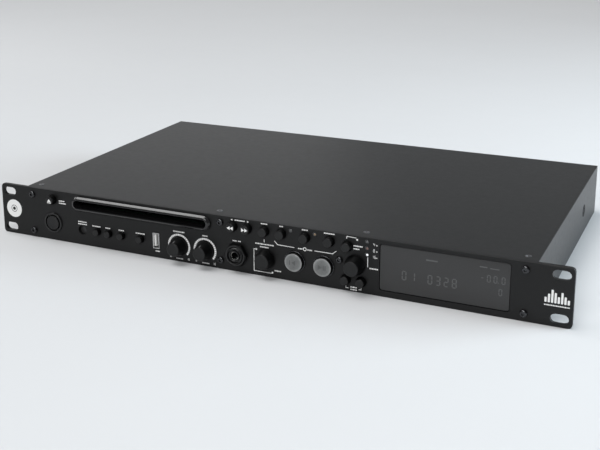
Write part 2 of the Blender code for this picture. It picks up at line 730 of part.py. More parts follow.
def make_power_switch():
    point = PLACES["power_button"]
    bore = POWER_BUTTON_RADIUS + BUTTON_CLEARANCE
    floor = POWER_BUTTON_LENGTH - POWER_BUTTON_REACH + POWER_TRAVEL + FIT_GAP
    rim = POWER_HOUSING_RADIUS - POWER_BAND / 2
    profile = [
        (0.0, -floor),
        (bore, -floor),
        (bore, POWER_HOUSING_REACH - POWER_RECESS_DEPTH),
        (POWER_RECESS_RADIUS, POWER_HOUSING_REACH - POWER_RECESS_DEPTH),
        (POWER_RECESS_RADIUS, POWER_HOUSING_REACH),
        (rim, POWER_HOUSING_REACH),
        (POWER_HOUSING_RADIUS, POWER_HOUSING_REACH - POWER_BAND / 2),
        (POWER_HOUSING_RADIUS, FIT_GAP),
        (POWER_COLLAR_RADIUS, FIT_GAP),
        (POWER_COLLAR_RADIUS, -floor - POWER_BAND),
        (0.0, -floor - POWER_BAND),
    ]
    housing = turned("power_switch_housing", profile, "plastic_black", point, RING_STEPS)
    half = POWER_BODY_WIDTH / 2
    body = bmesh.new()
    start = point.y + floor + POWER_BAND - FUSE_DEPTH
    add_block(
        body, (point.x - half, point.x + half), (start, start + POWER_BODY_LENGTH),
        (point.z - half, point.z + half),
    )
    fuse(housing, body)
    back = POWER_BUTTON_REACH - POWER_BUTTON_LENGTH
    button = [
        (0.0, POWER_BUTTON_REACH),
        (POWER_BUTTON_RADIUS - BUTTON_EDGE, POWER_BUTTON_REACH),
        (POWER_BUTTON_RADIUS, POWER_BUTTON_REACH - BUTTON_EDGE),
        (POWER_BUTTON_RADIUS, back),
        (0.0, back),
    ]
    turned("power_button", button, "button_black", point, RING_STEPS)


def make_slot_bezel():
    centre = PLACES["slot_bezel"]
    half_width, half_height = BEZEL_WIDTH / 2, BEZEL_HEIGHT / 2
    builder = bmesh.new()
    add_rounded_block(
        builder, (centre.x - half_width, centre.x + half_width),
        (FRONT_Y - BEZEL_REACH, FRONT_Y - FIT_GAP), (centre.z - half_height, centre.z + half_height),
        STADIUM_SHARE * half_height, BEZEL_RIM,
    )
    bezel = part("slot_bezel", builder, "bezel_black", centre)
    half_width = SLOT_WIDTH / 2 + BEZEL_COLLAR_WALL
    half_height = SLOT_HEIGHT / 2 + BEZEL_COLLAR_WALL
    collar = bmesh.new()
    add_rounded_block(
        collar, (centre.x - half_width, centre.x + half_width),
        (FRONT_Y - FIT_GAP - FUSE_DEPTH, FRONT_Y + BEZEL_COLLAR_LENGTH),
        (centre.z - half_height, centre.z + half_height), STADIUM_SHARE * half_height,
    )
    fuse(bezel, collar)
    mouth = bmesh.new()
    add_rounded_block(
        mouth, (centre.x - SLOT_WIDTH / 2, centre.x + SLOT_WIDTH / 2),
        (FRONT_Y - BEZEL_REACH - CUT_OVERRUN, FRONT_Y + BEZEL_COLLAR_LENGTH + CUT_OVERRUN),
        (centre.z - SLOT_HEIGHT / 2, centre.z + SLOT_HEIGHT / 2), STADIUM_SHARE * SLOT_HEIGHT / 2,
    )
    cut(bezel, mouth)


def make_felt_lips():
    """Two felt strips inside the bezel's mouth, above and below the way of the disc."""
    centre = PLACES["slot_bezel"]
    half_width = SLOT_WIDTH / 2 - FELT_END_MARGIN
    for name, side in (("felt_lip_upper", 1), ("felt_lip_lower", -1)):
        outer = centre.z + side * (SLOT_HEIGHT / 2 - FIT_GAP)
        inner = outer - side * FELT_THICKNESS
        builder = bmesh.new()
        add_block(
            builder, (centre.x - half_width, centre.x + half_width),
            (FRONT_Y, FRONT_Y + FELT_LENGTH), (min(inner, outer), max(inner, outer)),
        )
        part(name, builder, "felt_black", Vector((centre.x, FRONT_Y, outer)))


def make_sensor_window():
    back = COLLAR_START + SENSOR_WINDOW_THICKNESS
    profile = [
        (0.0, -COLLAR_START),
        (SENSOR_WINDOW_RADIUS, -COLLAR_START),
        (SENSOR_WINDOW_RADIUS, -back),
        (0.0, -back),
    ]
    turned("sensor_window", profile, "lens_smoke", PLACES["sensor_window"], HOLE_STEPS)


def make_usb_socket():
    point = PLACES["usb_shell"]
    half_width, half_height = USB_SHELL_WIDTH / 2, USB_SHELL_HEIGHT / 2
    shell = bmesh.new()
    add_block(
        shell, (point.x - half_width, point.x + half_width), (FRONT_Y, FRONT_Y + USB_SHELL_LENGTH),
        (point.z - half_height, point.z + half_height),
    )
    shell = part("usb_shell", shell, "socket_steel", point)
    half_width -= USB_SHELL_WALL
    half_height -= USB_SHELL_WALL
    inner_end = FRONT_Y + USB_SHELL_LENGTH - USB_BACK_WALL
    mouth = bmesh.new()
    add_block(
        mouth, (point.x - half_width, point.x + half_width), (FRONT_Y - CUT_OVERRUN, inner_end),
        (point.z - half_height, point.z + half_height),
    )
    cut(shell, mouth)
    tongue = bmesh.new()
    left = point.x - half_width + FIT_GAP
    add_block(
        tongue, (left, left + USB_TONGUE_THICKNESS), (FRONT_Y + USB_TONGUE_INSET, inner_end - FIT_GAP),
        (point.z - half_height + USB_TONGUE_INSET, point.z + half_height - USB_TONGUE_INSET),
    )
    part("usb_tongue", tongue, "plastic_white", point)


def knob_profile(radius, face, reach, lift, shaft_end):
    """A tapered knob with a short straight skirt, and its shaft."""
    return [
        (0.0, reach),
        (face - KNOB_EDGE, reach),
        (face, reach - KNOB_EDGE),
        (radius, lift + KNOB_SKIRT),
        (radius, lift),
        (KNOB_SHAFT_RADIUS, lift),
        (KNOB_SHAFT_RADIUS, -shaft_end),
        (0.0, -shaft_end),
    ]


def make_knobs():
    shaft_end = FRONT_BOARD_DEPTH - POT_HEIGHT - FIT_GAP
    volume = knob_profile(VOLUME_KNOB_RADIUS, VOLUME_KNOB_FACE, VOLUME_KNOB_REACH, KNOB_LIFT, shaft_end)
    turned("master_knob", volume, "knob_grey", PLACES["master_knob"], KNOB_STEPS)
    turned("mic_knob", volume, "knob_grey", PLACES["mic_knob"], KNOB_STEPS)
    pitch = knob_profile(PITCH_KNOB_RADIUS, PITCH_KNOB_FACE, PITCH_KNOB_REACH, KNOB_LIFT, shaft_end)
    turned("pitch_knob", pitch, "knob_grey", PLACES["pitch_knob"], KNOB_STEPS)


def make_track_encoder():
    """The track knob sits on a shaft of its own, because the two are pushed together and only one turns."""
    point = PLACES["track_knob"]
    lift = KNOB_LIFT + TRACK_PUSH
    bore_top = lift + TRACK_BORE_DEPTH
    bore = KNOB_SHAFT_RADIUS + BORE_CLEARANCE
    knob = [
        (0.0, TRACK_KNOB_REACH),
        (TRACK_KNOB_FACE - KNOB_EDGE, TRACK_KNOB_REACH),
        (TRACK_KNOB_FACE, TRACK_KNOB_REACH - KNOB_EDGE),
        (TRACK_KNOB_RADIUS, lift + KNOB_SKIRT),
        (TRACK_KNOB_RADIUS, lift),
        (bore, lift),
        (bore, bore_top),
        (0.0, bore_top),
    ]
    turned("track_knob", knob, "knob_grey", point, KNOB_STEPS)
    shaft_end = FRONT_BOARD_DEPTH - POT_HEIGHT - TRACK_PUSH - FIT_GAP
    shaft = [
        (0.0, bore_top - FIT_GAP),
        (KNOB_SHAFT_RADIUS, bore_top - FIT_GAP),
        (KNOB_SHAFT_RADIUS, -shaft_end),
        (0.0, -shaft_end),
    ]
    turned("track_encoder_shaft", shaft, "motor_metal", point, BUTTON_STEPS)


def make_mic_jack():
    point = PLACES["mic_jack"]
    bore_end = JACK_BORE_LENGTH - JACK_REACH
    body_start = COLLAR_START
    profile = [
        (0.0, -bore_end),
        (JACK_BORE_RADIUS, -bore_end),
        (JACK_BORE_RADIUS, JACK_REACH - JACK_EDGE),
        (JACK_BORE_RADIUS + JACK_EDGE / 2, JACK_REACH),
        (JACK_BUSH_RADIUS - JACK_EDGE / 2, JACK_REACH),
        (JACK_BUSH_RADIUS, JACK_REACH - JACK_EDGE / 2),
        (JACK_BUSH_RADIUS, -bore_end - JACK_EDGE),
        (0.0, -bore_end - JACK_EDGE),
    ]
    jack = turned("mic_jack", profile, "plastic_black", point, RING_STEPS)
    half = JACK_BODY_SIZE / 2
    body = bmesh.new()
    add_block(
        body, (point.x - half, point.x + half),
        (FRONT_Y + body_start, FRONT_Y + body_start + JACK_BODY_LENGTH), (point.z - half, point.z + half),
    )
    fuse(jack, body)
    bore = bmesh.new()
    add_rod(bore, at_front(point, 0.0), at_front(point, bore_end), JACK_BORE_RADIUS, RING_STEPS)
    cut(jack, bore)
    nut_radius = JACK_NUT_WIDTH / math.sqrt(3)
    nut = bmesh.new()
    add_rod(nut, at_front(point, -FIT_GAP), at_front(point, -JACK_NUT_REACH), nut_radius, 6)
    bmesh.ops.rotate(nut, cent=point, matrix=Matrix.Rotation(math.pi / 6, 3, "Y"), verts=nut.verts)
    nut = part("mic_jack_nut", nut, "plastic_black", point)
    chamfer = bmesh.new()
    face_radius = JACK_NUT_WIDTH / 2
    spread = face_radius + (JACK_NUT_REACH + CUT_OVERRUN) * JACK_NUT_CHAMFER_SLOPE_SHARE
    add_rod(
        chamfer, at_front(point, CUT_OVERRUN), at_front(point, -JACK_NUT_REACH), spread,
        RING_STEPS, face_radius,
    )
    combine(nut, "INTERSECT", chamfer)
    hole = bmesh.new()
    add_rod(
        hole, at_front(point, CUT_OVERRUN), at_front(point, -JACK_NUT_REACH - CUT_OVERRUN),
        JACK_BUSH_RADIUS + FIT_GAP, RING_STEPS,
    )
    cut(nut, hole)


def make_light_guide(name, places):
    """A clear bar behind the buttons' collars with one post through the panel for each small light."""
    start = COLLAR_START + BUTTON_COLLAR_THICKNESS + BUTTON_TRAVEL + FIT_GAP
    end = start + LIGHT_BAR_THICKNESS
    half = LIGHT_BAR_WIDTH / 2
    xs = [point.x for point in places]
    zs = [point.z for point in places]
    bar = bmesh.new()
    add_block(
        bar, (min(xs) - half, max(xs) + half), (FRONT_Y + start, FRONT_Y + end),
        (min(zs) - half, min(max(zs) + half, BASE_TOP_Z - BASE_SHEET - FIT_GAP)),
    )
    guide = part(name, bar, "light_clear", places[0])
    posts = bmesh.new()
    for point in places:
        inner, outer = at_front(point, start + FUSE_DEPTH), at_front(point, -LIGHT_REACH)
        add_rod(posts, inner, outer, LIGHT_RADIUS, SCREW_STEPS)
    fuse(guide, posts)


def make_display():
    centre = PLACES["display_window"]
    half_width, half_height = DISPLAY_WIDTH / 2, DISPLAY_HEIGHT / 2
    lens = bmesh.new()
    add_rounded_block(
        lens, (centre.x - half_width, centre.x + half_width),
        (FRONT_Y + DISPLAY_DROP, FRONT_Y + COLLAR_START + DISPLAY_FLANGE_THICKNESS),
        (centre.z - half_height, centre.z + half_height), DISPLAY_CORNER,
    )
    window = part("display_window", lens, "lens_smoke", centre)
    half_width += DISPLAY_FLANGE
    half_height += DISPLAY_FLANGE
    flange = bmesh.new()
    add_block(
        flange, (centre.x - half_width, centre.x + half_width),
        (FRONT_Y + COLLAR_START, FRONT_Y + COLLAR_START + DISPLAY_FLANGE_THICKNESS / 2),
        (centre.z - half_height, centre.z + half_height),
    )
    fuse(window, flange)
    half_height = DISPLAY_HEIGHT / 2
    front = FRONT_Y + COLLAR_START + DISPLAY_FLANGE_THICKNESS + FIT_GAP
    frame = bmesh.new()
    add_block(
        frame, (centre.x - half_width, centre.x + half_width), (front, front + DISPLAY_MODULE_DEPTH),
        (centre.z - half_height, centre.z + half_height),
    )
    module = part("display_module", frame, "module_grey", centre)
    half_width -= DISPLAY_GLASS_BORDER
    half_height -= DISPLAY_GLASS_BORDER
    recess = bmesh.new()
    add_block(
        recess, (centre.x - half_width, centre.x + half_width),
        (front - CUT_OVERRUN, front + DISPLAY_GLASS_DROP), (centre.z - half_height, centre.z + half_height),
    )
    cut(module, recess)


def make_front_board():
    """One board behind all the controls: switches, pots, encoders, sensor and the standoff of a panel screw."""
    front = FRONT_Y + FRONT_BOARD_DEPTH
    back = front + BOARD_THICKNESS
    eject = PLACES["eject_button"]
    power = PLACES["power_button"]
    bezel = PLACES["slot_bezel"]
    jack = PLACES["mic_jack"]
    low = BASE_SHEET + FRONT_BOARD_EDGE_GAP
    high = BASE_TOP_Z - BASE_SHEET - FRONT_BOARD_EDGE_GAP / 2
    left_high = bezel.z - SLOT_HEIGHT / 2 - BEZEL_COLLAR_WALL - FRONT_BOARD_EDGE_GAP / 2
    inner = bezel.x + BEZEL_WIDTH / 2 + TACT_SIZE
    start = power.x + POWER_BODY_WIDTH / 2 + FRONT_BOARD_EDGE_GAP
    board = bmesh.new()
    add_block(board, (inner, DISPLAY_RIGHT_X), (front, back), (low, high))
    board = part("front_circuit_board", board, "board_green", (inner, front, low))
    strip = bmesh.new()
    add_block(strip, (start, inner + FUSE_DEPTH), (front, back), (low, left_high))
    fuse(board, strip)
    tab = bmesh.new()
    tab_low = power.z + POWER_BODY_WIDTH / 2 + FRONT_BOARD_EDGE_GAP / 2
    add_block(
        tab, (eject.x - TACT_SIZE, start + TACT_SIZE), (front, back),
        (tab_low, high),
    )
    fuse(board, tab)
    devices = bmesh.new()

    def device(point, size, height):
        half = size / 2
        add_block(
            devices, (point.x - half, point.x + half), (front - height, front + FUSE_DEPTH),
            (point.z - half, point.z + half),
        )

    for name, _, _ in board_buttons():
        device(PLACES[name], TACT_SIZE, TACT_HEIGHT)
    for name in KNOBS:
        device(PLACES[name], POT_SIZE, POT_HEIGHT)
    device(PLACES["sensor_window"], SENSOR_CHIP_SIZE, POT_HEIGHT)
    stud = PLACES["board_screw"]
    stud_end = (stud.x, front + FUSE_DEPTH, stud.z)
    add_rod(devices, at_front(stud, COLLAR_START), stud_end, STANDOFF_RADIUS, HOLE_STEPS)
    fuse(board, devices)
    holes = bmesh.new()
    add_rod(
        holes, at_front(stud, 0.0), (stud.x, back + CUT_OVERRUN, stud.z),
        SCREW_SHANK_RADIUS + SCREW_CLEARANCE, SCREW_STEPS,
    )
    half = JACK_BODY_SIZE / 2 + FRONT_BOARD_EDGE_GAP / 2
    add_block(
        holes, (jack.x - half, jack.x + half), (front - CUT_OVERRUN, back + CUT_OVERRUN),
        (jack.z - half, jack.z + half),
    )
    cut(board, holes)


def make_chassis_base():
    """The folded steel pan: floor, front frame and its top flange, rear wall, side flanges and bosses."""
    half = BASE_HALF_WIDTH
    floor = bmesh.new()
    add_block(floor, (-half, half), (CASE_FRONT_Y, CASE_BACK_Y), (0.0, BASE_SHEET))
    base = part("chassis_base", floor, "chassis_steel", (0.0, CASE_BACK_Y, 0.0))
    walls = bmesh.new()
    low = BASE_SHEET - FUSE_DEPTH
    add_block(walls, (-half, half), (CASE_FRONT_Y, CASE_FRONT_Y + BASE_SHEET), (low, BASE_TOP_Z))
    add_block(walls, (-half, half), (CASE_BACK_Y - BASE_SHEET, CASE_BACK_Y), (low, BASE_TOP_Z))
    fuse(base, walls)
    folds = bmesh.new()
    flange_start = CASE_FRONT_Y + BASE_SHEET - FUSE_DEPTH
    add_block(
        folds, (-half, half), (flange_start, CASE_FRONT_Y + FRONT_FLANGE_DEPTH),
        (BASE_TOP_Z - BASE_SHEET, BASE_TOP_Z),
    )
    for side in (-1, 1):
        xs = sorted((side * half, side * (half - BASE_SHEET)))
        add_block(
            folds, xs, (flange_start, CASE_BACK_Y - BASE_SHEET + FUSE_DEPTH),
            (low, SIDE_FLANGE_HEIGHT),
        )
    fuse(base, folds)
    add_bosses(base, low)
    cut_base_windows(base)
    cut_rear_openings(base)


def add_bosses(base, low):
    """Bosses under the corners of the boards and the drive, a row at the front and one at the back."""
    drive = drive_frame()
    top = BASE_SHEET + BOARD_LIFT - FIT_GAP
    frames = (
        (MAIN_BOARD_LEFT, MAIN_BOARD_RIGHT, MAIN_BOARD_FRONT, MAIN_BOARD_BACK, top),
        (POWER_BOARD_LEFT, POWER_BOARD_RIGHT, POWER_BOARD_FRONT, POWER_BOARD_BACK, top),
        (*drive[:4], drive[4] - FIT_GAP),
    )
    front_row, back_row = bmesh.new(), bmesh.new()
    for left, right, near, far, top in frames:
        for x in (left + BOARD_CORNER_INSET, right - BOARD_CORNER_INSET):
            for row, y in ((front_row, near + BOARD_CORNER_INSET), (back_row, far - BOARD_CORNER_INSET)):
                add_rod(row, (x, y, low), (x, y, top), BOSS_RADIUS, BOSS_STEPS)
    fuse(base, front_row)
    fuse(base, back_row)


def cut_base_windows(base):
    """The front frame is open behind the controls, and solid where screws and the cover hold to it."""
    search = PLACES["search_back_button"]
    menu = PLACES["menu_button"]
    pitch = PLACES["pitch_knob"]
    button = ROUND_BUTTON_RADIUS + BUTTON_COLLAR_MARGIN + FIT_GAP
    margin = 2 * FIT_GAP
    spans = (
        (POWER_X - POWER_COLLAR_RADIUS - margin, BEZEL_X + SLOT_WIDTH / 2 + BEZEL_COLLAR_WALL + margin),
        (search.x - button, menu.x + button),
        (LIGHTS_X - LIGHT_BAR_WIDTH / 2 - margin, DISPLAY_RIGHT_X + DISPLAY_FLANGE + margin),
    )
    near = CASE_FRONT_Y - CUT_OVERRUN
    far = CASE_FRONT_Y + WINDOW_DEPTH
    windows = bmesh.new()
    for span in spans:
        add_block(windows, span, (near, far), (FRONT_SILL, BASE_TOP_Z + CUT_OVERRUN))
    cut(base, windows)
    below = bmesh.new()
    tab_low = pitch.z + PITCH_KNOB_RADIUS
    add_block(below, (menu.x, DISPLAY_LEFT_X), (near, far), (FRONT_SILL, tab_low))
    cut(base, below)
    holes = bmesh.new()
    for point in frame_screw_places():
        add_rod(
            holes, (point.x, near, point.z), (point.x, far + CUT_OVERRUN, point.z),
            SCREW_SHANK_RADIUS + SCREW_CLEARANCE, SCREW_STEPS,
        )
    cut(base, holes)


def cut_rear_openings(base):
    near = CASE_BACK_Y - BASE_SHEET - CUT_OVERRUN
    far = CASE_BACK_Y + CUT_OVERRUN
    holes = bmesh.new()
    half_width = INLET_BODY_WIDTH / 2 + FIT_GAP
    half_height = INLET_BODY_HEIGHT / 2 + FIT_GAP
    add_block(
        holes, (INLET_X - half_width, INLET_X + half_width), (near, far),
        (SOCKET_Z - half_height, SOCKET_Z + half_height),
    )
    half_width = OUTPUT_BLOCK_WIDTH / 2 + FIT_GAP
    half_height = OUTPUT_BLOCK_HEIGHT / 2 + FIT_GAP
    add_block(
        holes, (OUTPUT_X - half_width, OUTPUT_X + half_width), (near, far),
        (SOCKET_Z - half_height, SOCKET_Z + half_height),
    )
    for index in range(VENT_COUNT):
        x = (index - (VENT_COUNT - 1) / 2) * VENT_PITCH
        add_block(
            holes, (x - VENT_WIDTH / 2, x + VENT_WIDTH / 2), (near, far),
            (VENT_MARGIN_Z, PANEL_HEIGHT - VENT_MARGIN_Z),
        )
    cut(base, holes)


def make_top_cover():
    """The folded cover: the top and both side walls, open at the front, below and at the rear."""
    half = CASE_WIDTH / 2
    top = bmesh.new()
    add_block(top, (-half, half), (CASE_FRONT_Y, CASE_BACK_Y), (COVER_TOP_Z - COVER_SHEET, COVER_TOP_Z))
    cover = part("top_cover", top, "sheet_black", (0.0, CASE_BACK_Y, COVER_TOP_Z))
    sides = bmesh.new()
    for side in (-1, 1):
        xs = sorted((side * half, side * (half - COVER_SHEET)))
        add_block(sides, xs, (CASE_FRONT_Y, CASE_BACK_Y), (0.0, COVER_TOP_Z - COVER_SHEET + FUSE_DEPTH))
    fuse(cover, sides)


def drive_frame():
    """The drive's left, right, front, back, floor and lid planes."""
    left, right = BEZEL_X - DRIVE_WIDTH / 2, BEZEL_X + DRIVE_WIDTH / 2
    front = FRONT_Y + DRIVE_SETBACK
    bottom = BASE_SHEET + DRIVE_LIFT
    top = BASE_TOP_Z - DRIVE_TOP_GAP - DRIVE_COVER_SHEET - FIT_GAP
    return left, right, front, front + DRIVE_DEPTH, bottom, top


def disc_centre():
    """The middle of the disc's underside when it is loaded."""
    slot = PLACES["slot_bezel"]
    return Vector((slot.x, FRONT_Y + DRIVE_SETBACK + DISC_SETBACK, slot.z - DISC_THICKNESS / 2))


def rail_ends():
    """The start and end of the sled rails, and their height."""
    _, _, _, back, bottom, _ = drive_frame()
    start = disc_centre().y + MOTOR_RADIUS + RAIL_RIB_THICKNESS / 2
    return start, back, bottom + DRIVE_WALL + RAIL_LIFT


def make_drive_case():
    """The drive's tray: floor, walls, the disc's mouth, roller bearings and the rib that holds the rails."""
    left, right, front, back, bottom, top = drive_frame()
    slot = PLACES["slot_bezel"]
    block = bmesh.new()
    add_block(block, (left, right), (front, back), (bottom, top))
    case = part("drive_case", block, "drive_steel", (slot.x, front, bottom))
    hollow = bmesh.new()
    add_block(
        hollow, (left + DRIVE_WALL, right - DRIVE_WALL), (front + DRIVE_WALL, back - DRIVE_WALL),
        (bottom + DRIVE_WALL, top + CUT_OVERRUN),
    )
    cut(case, hollow)
    start, _, rail_z = rail_ends()
    rib = bmesh.new()
    half = RAIL_SPACING / 2 + RAIL_RADIUS + RAIL_RIB_BORDER
    add_block(
        rib, (slot.x - half, slot.x + half), (start, start + RAIL_RIB_THICKNESS),
        (bottom + DRIVE_WALL - FUSE_DEPTH, rail_z + RAIL_RADIUS + RAIL_RIB_BORDER),
    )
    fuse(case, rib)
    holes = bmesh.new()
    half_width = DISC_RADIUS + DRIVE_WALL
    add_block(
        holes, (slot.x - half_width, slot.x + half_width),
        (front - CUT_OVERRUN, front + DRIVE_WALL + CUT_OVERRUN),
        (slot.z - MOUTH_HEIGHT / 2, slot.z + MOUTH_HEIGHT / 2),
    )
    roller = roller_axis()
    add_rod(
        holes, (left - CUT_OVERRUN, roller.y, roller.z), (right + CUT_OVERRUN, roller.y, roller.z),
        ROLLER_PIN_RADIUS + BORE_CLEARANCE, SCREW_STEPS,
    )
    for side in (-1, 1):
        x = slot.x + side * RAIL_SPACING / 2
        add_rod(
            holes, (x, start - CUT_OVERRUN, rail_z), (x, back + CUT_OVERRUN, rail_z),
            RAIL_RADIUS + BORE_CLEARANCE, SCREW_STEPS,
        )
    cut(case, holes)


def roller_axis():
    _, _, front, _, _, _ = drive_frame()
    disc = disc_centre()
    return Vector((disc.x, front + ROLLER_SETBACK, disc.z - ROLLER_RADIUS - FIT_GAP))


def make_drive_cover():
    left, right, front, back, _, top = drive_frame()
    gap = FIT_GAP
    plate = bmesh.new()
    outer = gap + DRIVE_COVER_SHEET
    add_block(
        plate, (left - outer, right + outer), (front, back),
        (top + gap, top + gap + DRIVE_COVER_SHEET),
    )
    cover = part("drive_cover", plate, "drive_steel", (disc_centre().x, front, top))
    skirts = bmesh.new()
    for start, end in ((left - outer, left - gap), (right + gap, right + outer)):
        add_block(skirts, (start, end), (front, back), (top - DRIVE_COVER_SKIRT, top + gap + FUSE_DEPTH))
    fuse(cover, skirts)


def make_feed_roller():
    """The rubber roller that draws the disc in, with a waist so that it grips the disc's edges only."""
    left, right, _, _, _, _ = drive_frame()
    half = (right - left) / 2
    barrel = DISC_RADIUS + ROLLER_OVERHANG
    waist = ROLLER_RADIUS - FIT_GAP
    profile = [
        (0.0, half),
        (ROLLER_PIN_RADIUS, half),
        (ROLLER_PIN_RADIUS, barrel),
        (ROLLER_RADIUS, barrel),
        (waist, 0.0),
        (ROLLER_RADIUS, -barrel),
        (ROLLER_PIN_RADIUS, -barrel),
        (ROLLER_PIN_RADIUS, -half),
        (0.0, -half),
    ]
    along_x = Matrix.Rotation(math.pi / 2, 4, "Y")
    turned("feed_roller", profile, "roller_rubber", roller_axis(), BUTTON_STEPS, along_x)


def make_spindle():
    """The motor stands on the drive's floor, and the turntable's spindle runs in the motor."""
    disc = disc_centre()
    _, _, _, _, bottom, _ = drive_frame()
    base = bottom + DRIVE_WALL + FIT_GAP
    top = base + MOTOR_HEIGHT
    bore = SPINDLE_RADIUS + BORE_CLEARANCE
    bore_end = top - SPINDLE_LENGTH - FIT_GAP
    motor = [
        (0.0, bore_end - base),
        (bore, bore_end - base),
        (bore, top - base),
        (MOTOR_RADIUS - BUTTON_EDGE, top - base),
        (MOTOR_RADIUS, top - base - BUTTON_EDGE),
        (MOTOR_RADIUS, 0.0),
        (0.0, 0.0),
    ]
    upright = Matrix.Identity(4)
    turned("spindle_motor", motor, "motor_metal", Vector((disc.x, disc.y, base)), BIG_STEPS, upright)
    plate_top = disc.z - FIT_GAP
    plate_bottom = plate_top - TURNTABLE_THICKNESS
    turntable = [
        (0.0, plate_top + CENTRE_CONE_HEIGHT),
        (CENTRE_CONE_RADIUS - CENTRE_CONE_HEIGHT / 2, plate_top + CENTRE_CONE_HEIGHT),
        (CENTRE_CONE_RADIUS, plate_top),
        (TURNTABLE_RADIUS, plate_top),
        (TURNTABLE_RADIUS, plate_bottom),
        (SPINDLE_RADIUS, plate_bottom),
        (SPINDLE_RADIUS, top - SPINDLE_LENGTH),
        (0.0, top - SPINDLE_LENGTH),
    ]
    turntable = [(radius, height - plate_top) for radius, height in turntable]
    turned("turntable", turntable, "plastic_black", Vector((disc.x, disc.y, plate_top)), BIG_STEPS, upright)


def make_laser_sled():
    """The sled slides on two rails from the disc's centre outwards, with the lens on top."""
    start, back, rail_z = rail_ends()
    centre = disc_centre()
    near = start + RAIL_RIB_THICKNESS + SLED_START_GAP
    half = SLED_WIDTH / 2
    low, high = rail_z - SLED_HEIGHT / 2, rail_z + SLED_HEIGHT / 2
    body = bmesh.new()
    add_block(body, (centre.x - half, centre.x + half), (near, near + SLED_LENGTH), (low, high))
    sled = part("laser_sled", body, "plastic_black", (centre.x, near, rail_z))
    lens = bmesh.new()
    middle = near + SLED_LENGTH / 2
    foot, tip = (centre.x, middle, high - FUSE_DEPTH), (centre.x, middle, high + LENS_HEIGHT)
    add_rod(lens, foot, tip, LENS_RADIUS, HOLE_STEPS)
    fuse(sled, lens)
    holes = bmesh.new()
    for side in (-1, 1):
        x = centre.x + side * RAIL_SPACING / 2
        add_rod(
            holes, (x, near - CUT_OVERRUN, rail_z), (x, near + SLED_LENGTH + CUT_OVERRUN, rail_z),
            RAIL_RADIUS + BORE_CLEARANCE, SCREW_STEPS,
        )
    cut(sled, holes)
    for name, side in (("sled_rail_left", -1), ("sled_rail_right", 1)):
        x = centre.x + side * RAIL_SPACING / 2
        rail = bmesh.new()
        add_rod(rail, (x, start, rail_z), (x, back, rail_z), RAIL_RADIUS, SCREW_STEPS)
        part(name, rail, "motor_metal", (x, start, rail_z))


def make_board(name, left, right, near, far, devices):
    """A board on its bosses. Each device is its x and depth shares, its size shares and its height share."""
    low = BASE_SHEET + BOARD_LIFT
    width, depth = right - left, far - near
    plate = bmesh.new()
    add_block(plate, (left, right), (near, far), (low, low + BOARD_THICKNESS))
    board = part(name, plate, "board_green", (left, near, low))
    room = BASE_TOP_Z - low - BOARD_THICKNESS
    blocks = bmesh.new()
    for x_share, y_share, w_share, d_share, h_share in devices:
        x, y = left + x_share * width, near + y_share * depth
        add_block(
            blocks, (x, x + w_share * width), (y, y + d_share * depth),
            (low + BOARD_THICKNESS - FUSE_DEPTH, low + BOARD_THICKNESS + h_share * room),
        )
    fuse(board, blocks)


MAIN_DEVICE_SHARES = (
    (0.12, 0.16, 0.14, 0.16, 0.08),
    (0.34, 0.20, 0.09, 0.10, 0.06),
    (0.52, 0.14, 0.10, 0.12, 0.06),
    (0.70, 0.10, 0.05, 0.30, 0.25),
    (0.82, 0.16, 0.07, 0.08, 0.20),
    (0.10, 0.52, 0.10, 0.10, 0.10),
    (0.30, 0.50, 0.16, 0.18, 0.10),
    (0.56, 0.56, 0.05, 0.06, 0.35),
    (0.64, 0.56, 0.05, 0.06, 0.35),
    (0.80, 0.48, 0.10, 0.14, 0.12),
    (0.20, 0.84, 0.24, 0.06, 0.20),
)
POWER_DEVICE_SHARES = (
    (0.10, 0.20, 0.28, 0.52, 0.62),
    (0.44, 0.24, 0.12, 0.24, 0.66),
    (0.60, 0.24, 0.12, 0.24, 0.66),
    (0.44, 0.62, 0.30, 0.10, 0.55),
    (0.80, 0.30, 0.10, 0.40, 0.30),
)


def make_boards():
    make_board(
        "main_circuit_board", MAIN_BOARD_LEFT, MAIN_BOARD_RIGHT, MAIN_BOARD_FRONT, MAIN_BOARD_BACK,
        MAIN_DEVICE_SHARES,
    )
    make_board(
        "power_supply_board", POWER_BOARD_LEFT, POWER_BOARD_RIGHT, POWER_BOARD_FRONT, POWER_BOARD_BACK,
        POWER_DEVICE_SHARES,
    )


